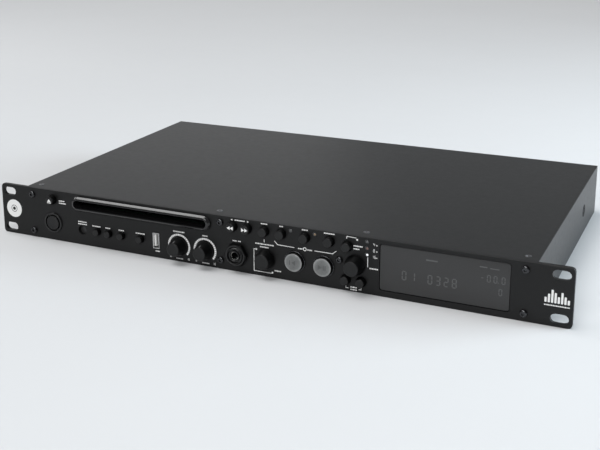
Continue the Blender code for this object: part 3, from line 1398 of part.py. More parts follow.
def make_mains_inlet():
    """A three-pin inlet: flange on the rear wall, body through it, recess with three pins."""
    face = CASE_BACK_Y + FIT_GAP + INLET_FLANGE_THICKNESS
    half_width, half_height = INLET_FLANGE_WIDTH / 2, INLET_FLANGE_HEIGHT / 2
    flange = bmesh.new()
    add_rounded_block(
        flange, (INLET_X - half_width, INLET_X + half_width), (CASE_BACK_Y + FIT_GAP, face),
        (SOCKET_Z - half_height, SOCKET_Z + half_height), INLET_FLANGE_CORNER,
    )
    inlet = part("mains_inlet", flange, "plastic_black", (INLET_X, face, SOCKET_Z))
    half_width, half_height = INLET_BODY_WIDTH / 2, INLET_BODY_HEIGHT / 2
    body = bmesh.new()
    add_block(
        body, (INLET_X - half_width, INLET_X + half_width),
        (CASE_BACK_Y - INLET_BODY_LENGTH, CASE_BACK_Y + FIT_GAP + FUSE_DEPTH),
        (SOCKET_Z - half_height, SOCKET_Z + half_height),
    )
    fuse(inlet, body)
    half_width, half_height = INLET_RECESS_WIDTH / 2, INLET_RECESS_HEIGHT / 2
    floor = face - INLET_RECESS_DEPTH
    recess = bmesh.new()
    add_rounded_block(
        recess, (INLET_X - half_width, INLET_X + half_width), (floor, face + CUT_OVERRUN),
        (SOCKET_Z - half_height, SOCKET_Z + half_height), INLET_RECESS_CORNER,
    )
    cut(inlet, recess)
    pins = bmesh.new()
    for x, z in (
        (INLET_X - INLET_PIN_SPACING / 2, SOCKET_Z - INLET_PIN_DROP),
        (INLET_X + INLET_PIN_SPACING / 2, SOCKET_Z - INLET_PIN_DROP),
        (INLET_X, SOCKET_Z + INLET_PIN_DROP),
    ):
        add_block(
            pins, (x - INLET_PIN_WIDTH / 2, x + INLET_PIN_WIDTH / 2),
            (floor - FUSE_DEPTH, floor + INLET_PIN_LENGTH),
            (z - INLET_PIN_HEIGHT / 2, z + INLET_PIN_HEIGHT / 2),
        )
    fuse(inlet, pins)


def make_output_jacks():
    """A block with two round audio sockets, one above the other, through the rear wall."""
    face = CASE_BACK_Y + FIT_GAP + OUTPUT_FLANGE_THICKNESS
    half_width, half_height = OUTPUT_BLOCK_WIDTH / 2, OUTPUT_BLOCK_HEIGHT / 2
    body = bmesh.new()
    add_block(
        body, (OUTPUT_X - half_width, OUTPUT_X + half_width), (CASE_BACK_Y - OUTPUT_BLOCK_LENGTH, face),
        (SOCKET_Z - half_height, SOCKET_Z + half_height),
    )
    block = part("output_jacks", body, "plastic_black", (OUTPUT_X, face, SOCKET_Z))
    half_width += OUTPUT_FLANGE_MARGIN
    half_height += OUTPUT_FLANGE_MARGIN
    flange = bmesh.new()
    add_block(
        flange, (OUTPUT_X - half_width, OUTPUT_X + half_width), (CASE_BACK_Y + FIT_GAP, face - FIT_GAP),
        (SOCKET_Z - half_height, SOCKET_Z + half_height),
    )
    fuse(block, flange)
    sockets, bores = bmesh.new(), bmesh.new()
    for side in (-1, 1):
        z = SOCKET_Z + side * OUTPUT_SPACING / 2
        tip = CASE_BACK_Y + OUTPUT_SOCKET_REACH
        add_rod(sockets, (OUTPUT_X, face - FUSE_DEPTH, z), (OUTPUT_X, tip, z), OUTPUT_SOCKET_RADIUS, HOLE_STEPS)
        add_rod(
            bores, (OUTPUT_X, CASE_BACK_Y, z), (OUTPUT_X, tip + CUT_OVERRUN, z),
            OUTPUT_SOCKET_BORE, SCREW_STEPS,
        )
    fuse(block, sockets)
    cut(block, bores)


def main():
    make_front_panel()
    make_panel_screws()
    make_buttons()
    make_lit_rings()
    make_power_switch()
    make_slot_bezel()
    make_felt_lips()
    make_sensor_window()
    make_usb_socket()
    make_knobs()
    make_track_encoder()
    make_mic_jack()
    make_light_guide("loop_light_guide", [control_point(shares) for shares in LOOP_LIGHT_SHARES])
    make_light_guide("pitch_light_guide", [control_point(shares) for shares in PITCH_LIGHT_SHARES])
    make_display()
    make_front_board()
    make_chassis_base()
    make_top_cover()
    make_drive_case()
    make_drive_cover()
    make_feed_roller()
    make_spindle()
    make_laser_sled()
    make_boards()
    make_mains_inlet()
    make_output_jacks()
    for obj in list(PARTS.objects):
        settle(obj)


main()
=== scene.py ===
"""The look of the rack disc player: finishes, printed marks, finer turned pieces, light, floor and camera.

X runs right along the front panel, Y to the rear and Z up. Shapes and marks are worked out in
millimetres and come into the scene in metres. Every place comes from the frame's nodes.
"""

import json
import math

import bmesh
import bpy
from mathutils import Matrix, Vector


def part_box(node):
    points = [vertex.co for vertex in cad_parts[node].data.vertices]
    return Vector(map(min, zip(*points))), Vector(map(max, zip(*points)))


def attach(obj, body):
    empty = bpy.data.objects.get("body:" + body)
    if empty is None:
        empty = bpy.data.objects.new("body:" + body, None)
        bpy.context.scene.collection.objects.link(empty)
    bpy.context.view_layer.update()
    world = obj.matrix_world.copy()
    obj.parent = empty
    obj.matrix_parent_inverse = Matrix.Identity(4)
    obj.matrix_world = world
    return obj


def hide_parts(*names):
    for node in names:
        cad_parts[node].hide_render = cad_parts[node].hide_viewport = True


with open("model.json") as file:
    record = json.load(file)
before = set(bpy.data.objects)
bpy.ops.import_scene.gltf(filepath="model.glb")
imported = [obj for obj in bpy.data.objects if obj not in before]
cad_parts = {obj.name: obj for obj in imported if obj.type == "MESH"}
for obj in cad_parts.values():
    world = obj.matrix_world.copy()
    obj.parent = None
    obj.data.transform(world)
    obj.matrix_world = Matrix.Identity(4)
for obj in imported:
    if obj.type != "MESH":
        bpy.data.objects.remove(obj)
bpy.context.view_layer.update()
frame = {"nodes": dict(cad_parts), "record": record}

MM = 0.001
NODES = frame["nodes"]
BODY_OF = {node: body for body, nodes in frame["record"]["behaviour"]["bodies"].items() for node in nodes}
SLOT_OF = {row["node"]: row["material_slot"] for row in frame["record"]["subparts"]}


def box_of(node):
    """A node's two corners, in millimetres."""
    return [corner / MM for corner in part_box(node)]


PANEL_LOW, PANEL_HIGH = box_of("front_panel")
FRONT_Y = PANEL_LOW.y
PANEL_BACK = 3.3

# Facets of the smooth shapes
TURN_STEPS = 64
JACK_STEPS = 56
NUT_STEPS = 72
RING_STEPS = 48
HEAD_STEPS = 40
LAMP_STEPS = 32
DOT_STEPS = 20
DOME_STEPS = 8
ARC_STEPS = 5
MARK_STEPS = 3
SHARP_ANGLE = math.radians(32)
SAME_PLACE = 1e-4
HEX_PART = math.pi / 3

# Buttons
BUTTONS = (
    "eject_button", "search_back_button", "search_forward_button", "bank_button", "loop_in_button",
    "loop_out_button", "reloop_button", "menu_button", "source_button", "time_button", "mode_button",
    "repeat_button", "pitch_bend_down_button", "pitch_bend_up_button",
)
BUTTON_EDGE = 0.7
BUTTON_CROWN = 0.12
BUTTON_TOP_SHARE = 0.87
BUTTON_SHOULDER_SHARE = 0.25
BUTTON_FACE_INSET = 0.2
COLLAR_MARGIN = 0.7
COLLAR_THICKNESS = 0.8
STEM_RADIUS = 1.4
SMALL_EDGE = 0.1
SIGN_DEPTH = 0.15
LIT_RADIUS = 7.3
LIT_CROWN = 0.2
LIT_EDGE = 0.8
LIT_FACE_INSET = 0.25
LIT_COLLAR_RADIUS = 8.1
LIT_COLLAR_START = 3.9
LIT_RING_GAP = 0.4
PANEL_GAP = 0.3

# Power switch
POWER_GROOVE_RADIUS = 7.3
POWER_GROOVE_DEPTH = 1.2
POWER_COLLAR_RADIUS = 8.0
POWER_COLLAR_END = 8.2
POWER_BODY_RADIUS = 7.4
POWER_FLOOR = 7.3
POWER_RIM = 0.5

# Microphone jack and its nut
JACK_BUSH_RADIUS = 6.4
JACK_BORE = 3.3
JACK_FLOOR = 1.2
JACK_RIM_SINK = 0.4
JACK_GROOVE = (4.3, 4.4, 5.7, 5.9)
JACK_GROOVE_DEPTH = 2.6
JACK_BODY_RADIUS = 7.0
THREAD_PITCH = 0.5
THREAD_DEPTH = 0.22
THREAD_START = 0.6
CONTACT_RADII = (2.95, 3.26)
CONTACT_SINK = 1.8
CONTACT_LENGTH = 3.2
NUT_HOLE = JACK_BUSH_RADIUS + PANEL_GAP

# Audio sockets at the rear
SOCKET_REACH = 9.5
SOCKET_FLANGE = 1.5
SOCKET_FOOT = 1.8
SOCKET_CORNER = 1.0
SOCKET_STEPS = 4
SOCKET_SPACING = 14.0
SOCKET_SHELL = (3.4, 4.2, 0.0)
SOCKET_RING = (1.7, 3.38, 0.4)
SOCKET_EDGE = 0.12

# Knobs, each with the radius of its face
KNOB_FACES = {"master_knob": 5.4, "mic_knob": 5.4, "pitch_knob": 5.7, "track_knob": 5.8}
VOLUME_KNOBS = ("master_knob", "mic_knob")
KNOB_SKIRT = 1.6
KNOB_LIFT = 0.4
KNOB_FACE_EDGE = 1.1
KNOB_DISH = 0.12
KNOB_DISH_SHARES = (0.7, 0.82)
SHAFT_RADIUS = 3.0
TRACK_BORE = (3.1, 6.0)
POINTER_WIDTH = 0.6
POINTER_LENGTH = 2.6
POINTER_START = 0.8
POINTER_DEPTHS = (-0.10, 0.06)

# Bezel of the slot
BEZEL_BORDER = (3.0, 2.8)
BEZEL_WALL = 1.2
BEZEL_RISE = 1.4
BEZEL_SLOPE = (1.3, 1.9)
BEZEL_STEPS = 14
STADIUM_SHARE = 0.498

# Screws, plugs and lamps
SCREW_SOCKET = 1.25
SCREW_STEM = 1.45
SCREW_BRIM = 0.35
SOCKET_LEVELS = ((0.0, 1.0), (0.12, 0.96), (1.0, 0.94))
HEAD_HEIGHT = 0.28
COVER_SCREW_RADIUS = 2.4
COVER_SCREW_INSET = 8.4
COVER_SCREW_SIDE = 8.6
COVER_SCREW_MIDDLES = (-33.6, 89.2)
PLUG_RADIUS = 5.4
PLUG_PLACE = (194.0, 21.5)
LAMP_DOME = ((0.0, 0.60), (0.35, 0.56), (0.65, 0.44), (0.88, 0.25), (1.0, 0.0), (1.0, -0.6), (0.0, -0.6))

# Display
LENS_FLANGE = 1.6
LENS_FLANGE_BACK = 3.8
LENS_CORNER = 2.0
LENS_STEPS = 8
LENS_EDGE = 0.25
FIGURE_MARGIN = 1.6
FIGURE_DEPTHS = (0.04, 0.02)
# Each has its text, side of the lens, distance from that side, height above the floor, size and pitch
FIGURES = (
    ("01", 1, 18.4, 19.2, 6.4, 6.4),
    ("0328", 1, 37.6, 19.2, 6.4, 5.9),
    ("-00", -1, 19.4, 27.0, 4.8, 4.6),
    ("0", -1, 4.6, 27.0, 4.8, 4.6),
    ("0", -1, 6.4, 18.2, 4.6, 4.6),
)
# Each has its side of the lens, distance from that side, height above the floor, length and thickness
FLAGS = (
    (-1, 8.2, 24.9, 0.7, 0.7),
    (1, 38.6, 33.7, 8.5, 1.1),
    (-1, 18.8, 35.0, 5.4, 0.9),
    (-1, 11.0, 34.6, 6.5, 0.7),
)

# Printed marks
INK_HEIGHT = 0.05
INK_SINK = 0.02
BAR_HEIGHT = 1.0
BAR_CORNER_SHARE = 0.25
DASHES = (1.0, 0.7, 1.3, 0.8, 1.1)
DASH_GAP = 0.24
LINE_WIDTH = 0.50
DOT_RADIUS = 0.75
DIGIT_HEIGHT = 1.7
DIGIT_PITCH_SHARE = 0.80
DIGIT_WIDTH_SHARE = 0.56
DIGIT_BAR_SHARE = 0.13
DIGIT_GAP_SHARE = 0.02
DIGIT_BARS = {
    "0": "abcdef", "1": "bc", "2": "abged", "3": "abgcd", "4": "fgbc", "6": "afgedc", "8": "abcdefg",
    "-": "g",
}
LEVEL_BARS = {"a": 1, "g": 0, "d": -1}
UPRIGHT_BARS = {"f": (-1, 1), "b": (1, 1), "e": (-1, -1), "c": (1, -1)}
SCALE_TICKS = 26
SCALE_ANGLES = (217, -43)
SCALE_EDGES = (0.9, 2.5)
SCALE_TICK_SHARE = 0.82
SCALE_NUMBERS = (("0", -8.0, -9.6), ("10", 8.2, -10.2))

# Labels beside the controls: offset from the control across and up, and length
LABELS = {
    "eject_button": ((9.4, -0.3, 5.8), (10.1, -2.3, 7.2)),
    "sensor_window": ((0.3, 7.3, 8.4), (0.3, 5.3, 8.8)),
    "source_button": ((-1.0, 4.5, 8.0),),
    "time_button": ((-0.9, 4.5, 4.8),),
    "mode_button": ((-0.3, 4.5, 5.0),),
    "repeat_button": ((-0.3, 4.5, 8.5),),
    "usb_shell": ((1.3, -8.6, 4.0),),
    "master_knob": ((0.1, 12.0, 10.2), (0.2, -10.6, 6.0)),
    "mic_knob": ((0.3, 12.0, 4.6), (0.4, -10.6, 6.4)),
    "mic_jack": ((-2.0, 10.7, 3.6), (2.0, 10.7, 2.4)),
    "bank_button": ((-0.2, 5.8, 5.5),),
    "loop_in_button": ((-0.1, 5.8, 2.8), (15.6, -9.6, 3.6), (23.4, -9.6, 3.8)),
    "loop_out_button": ((-0.2, 5.8, 4.8),),
    "reloop_button": ((-0.2, 5.8, 8.5),),
    "menu_button": ((8.2, 0.9, 7.0), (7.0, -1.4, 4.6)),
    "track_knob": ((-1.0, 11.6, 15.6), (-1.2, 9.3, 7.4), (10.2, -8.4, 5.4)),
    "search_back_button": ((6.2, 5.4, 8.6),),
    "pitch_bend_down_button": ((6.3, -5.3, 5.0), (6.3, -7.2, 5.0)),
}
# Lines and dots that tie a control to its label: points across and up from the control
LINES = {
    "track_knob": (((-8.0, 6.8), (-10.0, 6.8), (-10.0, -11.0), (5.0, -11.0)), ((-1.2, 13.2), (-1.2, 15.6))),
    "loop_in_button": (
        ((-5.7, -6.6), (-3.2, -9.2), (10.8, -9.4)), ((27.3, -9.5), (41.8, -9.5), (44.8, -7.0)),
    ),
    "menu_button": (((-0.8, 5.6), (-0.5, 7.4), (6.8, 7.1)),),
    "pitch_bend_down_button": (
        ((0.2, -4.6), (0.2, -6.4), (2.2, -6.4)), ((10.2, -6.4), (12.2, -6.4), (12.2, -4.6)),
    ),
}
DOTS = {"track_knob": ((-8.0, 6.8), (5.6, -10.4)), "menu_button": ((7.5, 5.8),)}
LOOP_RING = (19.4, -9.4, 1.5, 0.9)
SEARCH_ARROWS = ((-0.9, -1), (13.3, 1))
SEARCH_ARROW_UP = 5.4
SEARCH_ARROW_SIZE = 1.6

# Pitch ranges beside their lamps: offset across from the lamps, height above the floor and length
PITCH_NUMBERS = (("4", 39.3), ("8", 34.6), ("16", 29.7))
PITCH_NUMBER = (5.4, 2.1)
PITCH_UNIT = (7.6, -0.5, 1.1)
PITCH_LINE = (0.7, 28.7, 21.2)
PITCH_LABEL = (5.4, 20.5, 6.6)

# Signs on the ears, from the slots' middle: a disc on the left and level bars on the right
EAR_SLOT_X = PANEL_HIGH.x - 8.75
EAR_DISC = (3.6, 22.7)
EAR_DISC_RINGS = ((7.9, 3.1, 28), (2.6, 1.5, 20))
EAR_LEVELS = (3.6, 6.2, 9.4, 7.4, 4.8, 8.2, 5.4, 3.4)
EAR_LEVEL_PITCH = 2.2
EAR_LEVEL_WIDTH = 1.5
EAR_LEVEL_CORNER = 0.4
EAR_LEVEL_FOOT = 17.2
EAR_BAR = (15.3, 17.0, 0.9)

# Floor, in metres: half its width, the wall's place, the curve's radius and the wall's top
FLOOR_HALF = 6.0
WALL_Y = 5.0
FLOOR_CURVE = 3.0
WALL_TOP = 8.0
CURVE_STEPS = 12

# Light, in metres and watts. Each panel has its place, target, size, power, colour and spread
WORLD_COLOUR = (0.96, 0.98, 1.0, 1.0)
WORLD_STRENGTH = 0.145
SUN_STRENGTH = 1.95
SUN_ANGLE = math.radians(42)
SUN_SIDE = (-0.36, -0.08, 0.93)
WHITE = (1.0, 1.0, 1.0)
PALE_BLUE = (0.80, 0.92, 1.0)
LIGHT_PANELS = {
    "front_panel_light": ((0.12, -2.2, 1.5), (0.0, -0.1, 0.02), (1.2, 0.9), 31.0, WHITE, math.pi),
    "left_panel": ((-1.6, 0.2, 0.75), (0.0, -0.05, 0.02), (0.8, 0.9), 4.5, WHITE, math.pi),
    "back_left_panel": ((-2.2, 2.6, 1.0), (0.0, 0.0, 0.04), (2.4, 1.4), 4.0, WHITE, math.pi),
    "right_panel": ((1.5, 0.5, 0.4), (0.2, 0.0, 0.02), (0.9, 0.6), 17.0, PALE_BLUE, math.radians(120)),
}

# Camera, solved on the panel's corners, slots and case edges
CAMERA_PLACE = (0.33705, -0.80241, 0.30088)
CAMERA_AZIMUTH = math.radians(26.198)
CAMERA_ELEVATION = math.radians(14.116)
CAMERA_ROLL = math.radians(-0.606)
CAMERA_LENS = 62.03
CAMERA_SENSOR = 36.0
CAMERA_SHIFT = (0.069, -0.152)
CAMERA_NEAR = 0.05


def measures(node):
    """A node's middle on the panel's front, how far out its front and its back lie, and its radius."""
    low, high = box_of(node)
    place = Vector(((low.x + high.x) / 2, FRONT_Y, (low.z + high.z) / 2))
    return place, FRONT_Y - low.y, FRONT_Y - high.y, (high.x - low.x) / 2


def place_of(node):
    return measures(node)[0]


class Finish:
    """A Principled material whose colour, roughness and bump come from nodes on the object's coordinates."""

    def __init__(self, name):
        self.material = bpy.data.materials.new(name)
        self.material.use_nodes = True
        self.tree = self.material.node_tree
        self.shader = self.tree.nodes["Principled BSDF"]
        self.place = self.tree.nodes.new("ShaderNodeTexCoord").outputs["Object"]
        self.bumps = None

    def set(self, name, value):
        self.shader.inputs[name].default_value = value

    def add(self, kind, values=None, **settings):
        """A new node with its settings and the values of its inputs."""
        node = self.tree.nodes.new(kind)
        for key, value in settings.items():
            setattr(node, key, value)
        for key, value in (values or {}).items():
            node.inputs[key].default_value = value
        return node

    def link(self, source, target):
        self.tree.links.new(source, target)

    def mapped(self, values):
        """The coordinates, scaled and moved."""
        mapping = self.add("ShaderNodeMapping", values)
        self.link(self.place, mapping.inputs["Vector"])
        return mapping.outputs["Vector"]

    def texture(self, kind, values, stretch=None, **settings):
        node = self.add(kind, values, **settings)
        self.link(self.mapped({"Scale": stretch}) if stretch else self.place, node.inputs["Vector"])
        return node.outputs

    def noise(self, scale, detail=3.0, stretch=None):
        return self.texture("ShaderNodeTexNoise", {"Scale": scale, "Detail": detail}, stretch)["Fac"]

    def cells(self, scale):
        return self.texture("ShaderNodeTexVoronoi", {"Scale": scale})

    def ramp(self, value, stops):
        """Colours along a value from 0 to 1: a list of (place, colour)."""
        node = self.add("ShaderNodeValToRGB")
        elements = node.color_ramp.elements
        while len(elements) < len(stops):
            elements.new(0.5)
        for element, (place, colour) in zip(elements, stops):
            element.position = place
            element.color = (*colour, 1.0)
        self.link(value, node.inputs["Fac"])
        return node.outputs["Color"]

    def shaded(self, value, dark, light, start=0.3, end=0.7):
        return self.ramp(value, [(start, dark), (end, light)])

    def ranged(self, value, low, high, start=0.3, end=0.7):
        values = {"From Min": start, "From Max": end, "To Min": low, "To Max": high}
        node = self.add("ShaderNodeMapRange", values)
        self.link(value, node.inputs["Value"])
        return node.outputs["Result"]

    def blend(self, factor, first, second, mode="MIX"):
        node = self.add("ShaderNodeMix", data_type="RGBA", blend_type=mode)
        self.link(factor, node.inputs["Factor"])
        for socket, value in (("A", first), ("B", second)):
            target = next(s for s in node.inputs if s.name == socket and s.type == "RGBA")
            if isinstance(value, tuple):
                target.default_value = (*value, 1.0)
            else:
                self.link(value, target)
        return next(s for s in node.outputs if s.type == "RGBA")

    def colour(self, value):
        self.link(value, self.shader.inputs["Base Color"])

    def rough(self, value, low, high, start=0.3, end=0.7):
        self.link(self.ranged(value, low, high, start, end), self.shader.inputs["Roughness"])

    def bump(self, height, strength, distance):
        """Adds a bump, whose distance is in millimetres, to those already there."""
        node = self.add("ShaderNodeBump", {"Strength": strength, "Distance": distance * MM})
        self.link(height, node.inputs["Height"])
        if self.bumps:
            self.link(self.bumps, node.inputs["Normal"])
        self.bumps = node.outputs["Normal"]
        self.link(self.bumps, self.shader.inputs["Normal"])


def shades(colour, spread):
    """A darker and a lighter shade of a colour."""
    return [tuple(channel * (1 + sign * spread) for channel in colour) for sign in (-1, 1)]


def painted_sheet(finish, colour, roughness, grain_scale, grain, spread, specular):
    """Powder paint on sheet metal: a fine grain, slow changes of shade and a little rubbed gloss."""
    finish.set("Specular IOR Level", specular)
    cloud = finish.noise(14.0, 4.0)
    speck = finish.noise(grain_scale, 2.0)
    base = finish.shaded(cloud, *shades(colour, spread))
    finish.colour(finish.blend(finish.ranged(speck, 0.0, 0.35), base, shades(colour, 3 * spread)[1]))
    finish.rough(finish.noise(240.0, 4.0), roughness - 0.015, roughness + 0.015)
    finish.bump(speck, grain, 0.05)
    finish.bump(finish.noise(420.0, 2.0), grain / 3, 0.10)


def moulded(finish, colour, roughness, specular=0.5, grain=0.08, spread=0.12):
    """Moulded plastic with a fine spark-eroded grain."""
    finish.set("Specular IOR Level", specular)
    finish.colour(finish.shaded(finish.noise(180.0, 4.0), *shades(colour, spread)))
    finish.rough(finish.noise(900.0, 3.0), roughness - 0.05, roughness + 0.06)
    finish.bump(finish.noise(5200.0, 2.0), grain, 0.03)


def brushed(finish, colour, roughness, stretch=(1.0, 1.0, 1.0)):
    """Metal with fine lines along its least stretched axis."""
    finish.set("Metallic", 1.0)
    lines = finish.noise(900.0, 3.0, stretch)
    finish.colour(finish.shaded(lines, *shades(colour, 0.08)))
    finish.rough(lines, roughness - 0.06, roughness + 0.08)
    finish.bump(lines, 0.05, 0.02)


def spangled(finish, colour, roughness):
    """Zinc-plated sheet: faint crystals of differing brightness."""
    finish.set("Metallic", 1.0)
    crystals = finish.cells(160.0)["Color"]
    grey = finish.add("ShaderNodeRGBToBW")
    finish.link(crystals, grey.inputs["Color"])
    finish.colour(finish.shaded(grey.outputs["Val"], *shades(colour, 0.10), 0.0, 1.0))
    finish.rough(grey.outputs["Val"], roughness - 0.05, roughness + 0.08, 0.0, 1.0)
    finish.bump(finish.noise(1200.0, 2.0), 0.04, 0.02)


def felt(finish):
    """Short black fibres, dull and uneven."""
    finish.set("Specular IOR Level", 0.05)
    fibres = finish.noise(5200.0, 4.0, (1.0, 1.0, 2.5))
    finish.colour(finish.shaded(fibres, (0.0012, 0.0012, 0.0014), (0.0060, 0.0060, 0.0064), 0.3, 0.75))
    finish.rough(fibres, 0.88, 0.99)
    finish.bump(fibres, 0.6, 0.15)


def smoked_lens(finish, colour, roughness):
    """Satin smoked acrylic: nearly even, with the faintest haze and hairlines."""
    finish.set("IOR", 1.49)
    finish.colour(finish.shaded(finish.noise(9.0, 3.0), *shades(colour, 0.05)))
    finish.rough(finish.noise(700.0, 2.0, (1.0, 1.0, 12.0)), roughness - 0.03, roughness + 0.04)
    finish.bump(finish.noise(2400.0, 2.0), 0.02, 0.02)


def bezel_gloss(finish):
    """The glossy black bezel, with faint lines from moulding along its length."""
    finish.set("Coat Weight", 0.35)
    finish.set("Coat Roughness", 0.12)
    lines = finish.noise(1500.0, 2.0, (0.02, 1.0, 1.0))
    finish.colour(finish.shaded(lines, (0.0075, 0.0075, 0.0080), (0.0110, 0.0110, 0.0115)))
    finish.rough(finish.noise(300.0, 3.0), 0.18, 0.26)
    finish.bump(lines, 0.02, 0.01)


def ink(finish, colour):
    """Screen-printed ink: a dry surface with tiny pinholes."""
    finish.colour(finish.shaded(finish.noise(3500.0, 2.0), *shades(colour, 0.06), 0.35, 0.65))
    finish.rough(finish.noise(2000.0, 2.0), 0.55, 0.72)
    finish.bump(finish.noise(6000.0, 1.0), 0.05, 0.01)


def milky_cap_painted_rim_light(finish, centre):
    """A lit button's cap with its lamp off: milky plastic with faint clouds, and brighter towards its rim by
    painted light.
    """
    finish.set("Coat Weight", 0.25)
    finish.set("Coat Roughness", 0.2)
    scale = 1 / (LIT_RADIUS * MM)
    ball = finish.add("ShaderNodeTexGradient", gradient_type="SPHERICAL")
    middle = finish.mapped({"Scale": [scale] * 3, "Location": [-value / LIT_RADIUS for value in centre]})
    finish.link(middle, ball.inputs["Vector"])
    # Painted light: the colour is bright at the rim and darker in the middle, standing in for light caught at
    # the cap's edge.
    glow = finish.ramp(ball.outputs["Fac"], [
        (0.0, (0.400, 0.408, 0.406)), (0.12, (0.270, 0.278, 0.277)),
        (0.30, (0.175, 0.182, 0.181)), (1.0, (0.145, 0.152, 0.151)),
    ])
    clouds = finish.shaded(finish.noise(260.0, 5.0, (1.0, 1.0, 0.6)), (0.60, 0.60, 0.60), WHITE)
    finish.colour(finish.blend(finish.ranged(finish.noise(90.0, 2.0), 0.5, 1.0), glow, clouds, "MULTIPLY"))
    finish.rough(finish.noise(1400.0, 2.0), 0.26, 0.40)
    finish.bump(finish.noise(1100.0, 3.0), 0.12, 0.05)


def lamp(finish, colour, glow=0.0):
    """A small light: a clear dome over a chip."""
    finish.set("Coat Weight", 0.6)
    dark, light = shades(colour, 0.12)
    grains = finish.shaded(finish.cells(1400.0)["Distance"], light, dark, 0.0, 0.7)
    finish.colour(grains)
    finish.rough(finish.noise(900.0, 2.0), 0.16, 0.26)
    finish.link(grains, finish.shader.inputs["Emission Color"])
    finish.set("Emission Strength", glow)


def circuit_board(finish):
    """Green lacquer over copper lines, with tinned pads."""
    finish.set("Coat Weight", 0.4)
    lacquer = finish.shaded(finish.noise(60.0, 3.0), (0.005, 0.030, 0.015), (0.008, 0.044, 0.022))
    black, white = (0.0, 0.0, 0.0, 1.0), (1.0, 1.0, 1.0, 1.0)
    grid = finish.texture("ShaderNodeTexBrick", {
        "Scale": 190.0, "Mortar Size": 0.035, "Color1": black, "Color2": black, "Mortar": white,
    })
    tracks = finish.blend(grid["Color"], lacquer, (0.018, 0.085, 0.040))
    pads = finish.ranged(finish.cells(240.0)["Distance"], 1.0, 0.0, 0.10, 0.16)
    finish.colour(finish.blend(pads, tracks, (0.55, 0.55, 0.52)))
    finish.rough(finish.noise(500.0, 2.0), 0.34, 0.46)
    finish.bump(grid["Fac"], 0.2, 0.04)


def rubber(finish):
    """Dull black rubber with a worn surface."""
    finish.colour(finish.shaded(finish.noise(400.0, 4.0), (0.018, 0.018, 0.018), (0.034, 0.034, 0.034)))
    finish.rough(finish.noise(1500.0, 2.0), 0.72, 0.88)
    finish.bump(finish.noise(3000.0, 3.0), 0.25, 0.06)


# Each has its maker and the maker's values. Those up to motor_metal are the CAD's material slots
LOOKS = {
    "panel_black": (painted_sheet, (0.0066, 0.0067, 0.0069), 0.44, 3200.0, 0.08, 0.07, 0.29),
    "sheet_black": (painted_sheet, (0.0120, 0.0121, 0.0123), 0.36, 2200.0, 0.12, 0.03, 0.195),
    "chassis_steel": (spangled, (0.46, 0.47, 0.48), 0.40),
    "button_black": (moulded, (0.0030, 0.0031, 0.0033), 0.34, 0.42),
    "knob_grey": (moulded, (0.0038, 0.0041, 0.0042), 0.40, 0.40, 0.10),
    "bezel_black": (bezel_gloss,),
    "felt_black": (felt,),
    "screw_black": (brushed, (0.062, 0.063, 0.066), 0.22),
    "lens_smoke": (smoked_lens, (0.0300, 0.0302, 0.0307), 0.34),
    "light_clear": (lamp, (0.014, 0.0145, 0.015)),
    "lit_grey": (moulded, (0.13, 0.134, 0.134), 0.34),
    "socket_steel": (brushed, (0.80, 0.80, 0.80), 0.30, (1.0, 0.15, 1.0)),
    "plastic_black": (moulded, (0.0085, 0.0086, 0.0090), 0.38),
    "plastic_white": (moulded, (0.72, 0.72, 0.70), 0.40, 0.5, 0.05, 0.04),
    "board_green": (circuit_board,),
    "module_grey": (moulded, (0.090, 0.098, 0.105), 0.36),
    "drive_steel": (brushed, (0.50, 0.51, 0.52), 0.34, (1.0, 0.05, 1.0)),
    "roller_rubber": (rubber,),
    "motor_metal": (brushed, (0.55, 0.56, 0.57), 0.28, (1.0, 1.0, 0.06)),
    "ink_white": (ink, (0.84, 0.84, 0.83)),
    "ink_grey": (ink, (0.085, 0.087, 0.088)),
    "pointer_grey": (moulded, (0.16, 0.16, 0.165), 0.45),
    "segment_grey": (ink, (0.092, 0.094, 0.095)),
    "lamp_off": (lamp, (0.095, 0.098, 0.10)),
    "lamp_pale": (lamp, (0.78, 0.80, 0.82), 0.5),
    "lamp_amber": (lamp, (0.22, 0.15, 0.085), 0.08),
    "lamp_rose": (lamp, (0.15, 0.085, 0.075), 0.05),
    "nickel": (brushed, (0.60, 0.59, 0.56), 0.22, (1.0, 0.1, 1.0)),
    "ring_red": (moulded, (0.42, 0.022, 0.020), 0.36),
    "ring_white": (moulded, (0.70, 0.70, 0.68), 0.36),
    # The next two are darker copies of the button and knob finishes: painted shade on the sides of buttons,
    # knobs and the jack nut.
    "button_side_painted_shade": (moulded, (0.0012, 0.0012, 0.0013), 0.45, 0.15),
    "knob_side_painted_shade": (moulded, (0.0015, 0.0016, 0.0017), 0.42, 0.17, 0.10),
    "ring_dark": (brushed, (0.070, 0.071, 0.074), 0.24),
    "screw_grey": (brushed, (0.16, 0.162, 0.168), 0.32),
    "plug_dark": (moulded, (0.0025, 0.0026, 0.0028), 0.55, 0.08),
}


def made(name, maker, *values):
    """A material that its maker fills in."""
    finish = Finish(name)
    maker(finish, *values)
    return finish.material


FINISHES = {name: made(name, *look) for name, look in LOOKS.items()}


def finish_cad_nodes():
    for name, node in NODES.items():
        node.data.materials.clear()
        node.data.materials.append(FINISHES[SLOT_OF[name]])


def placed(name, data):
    """An object with its data, in the scene."""
    obj = bpy.data.objects.new(name, data)
    bpy.context.scene.collection.objects.link(obj)
    return obj


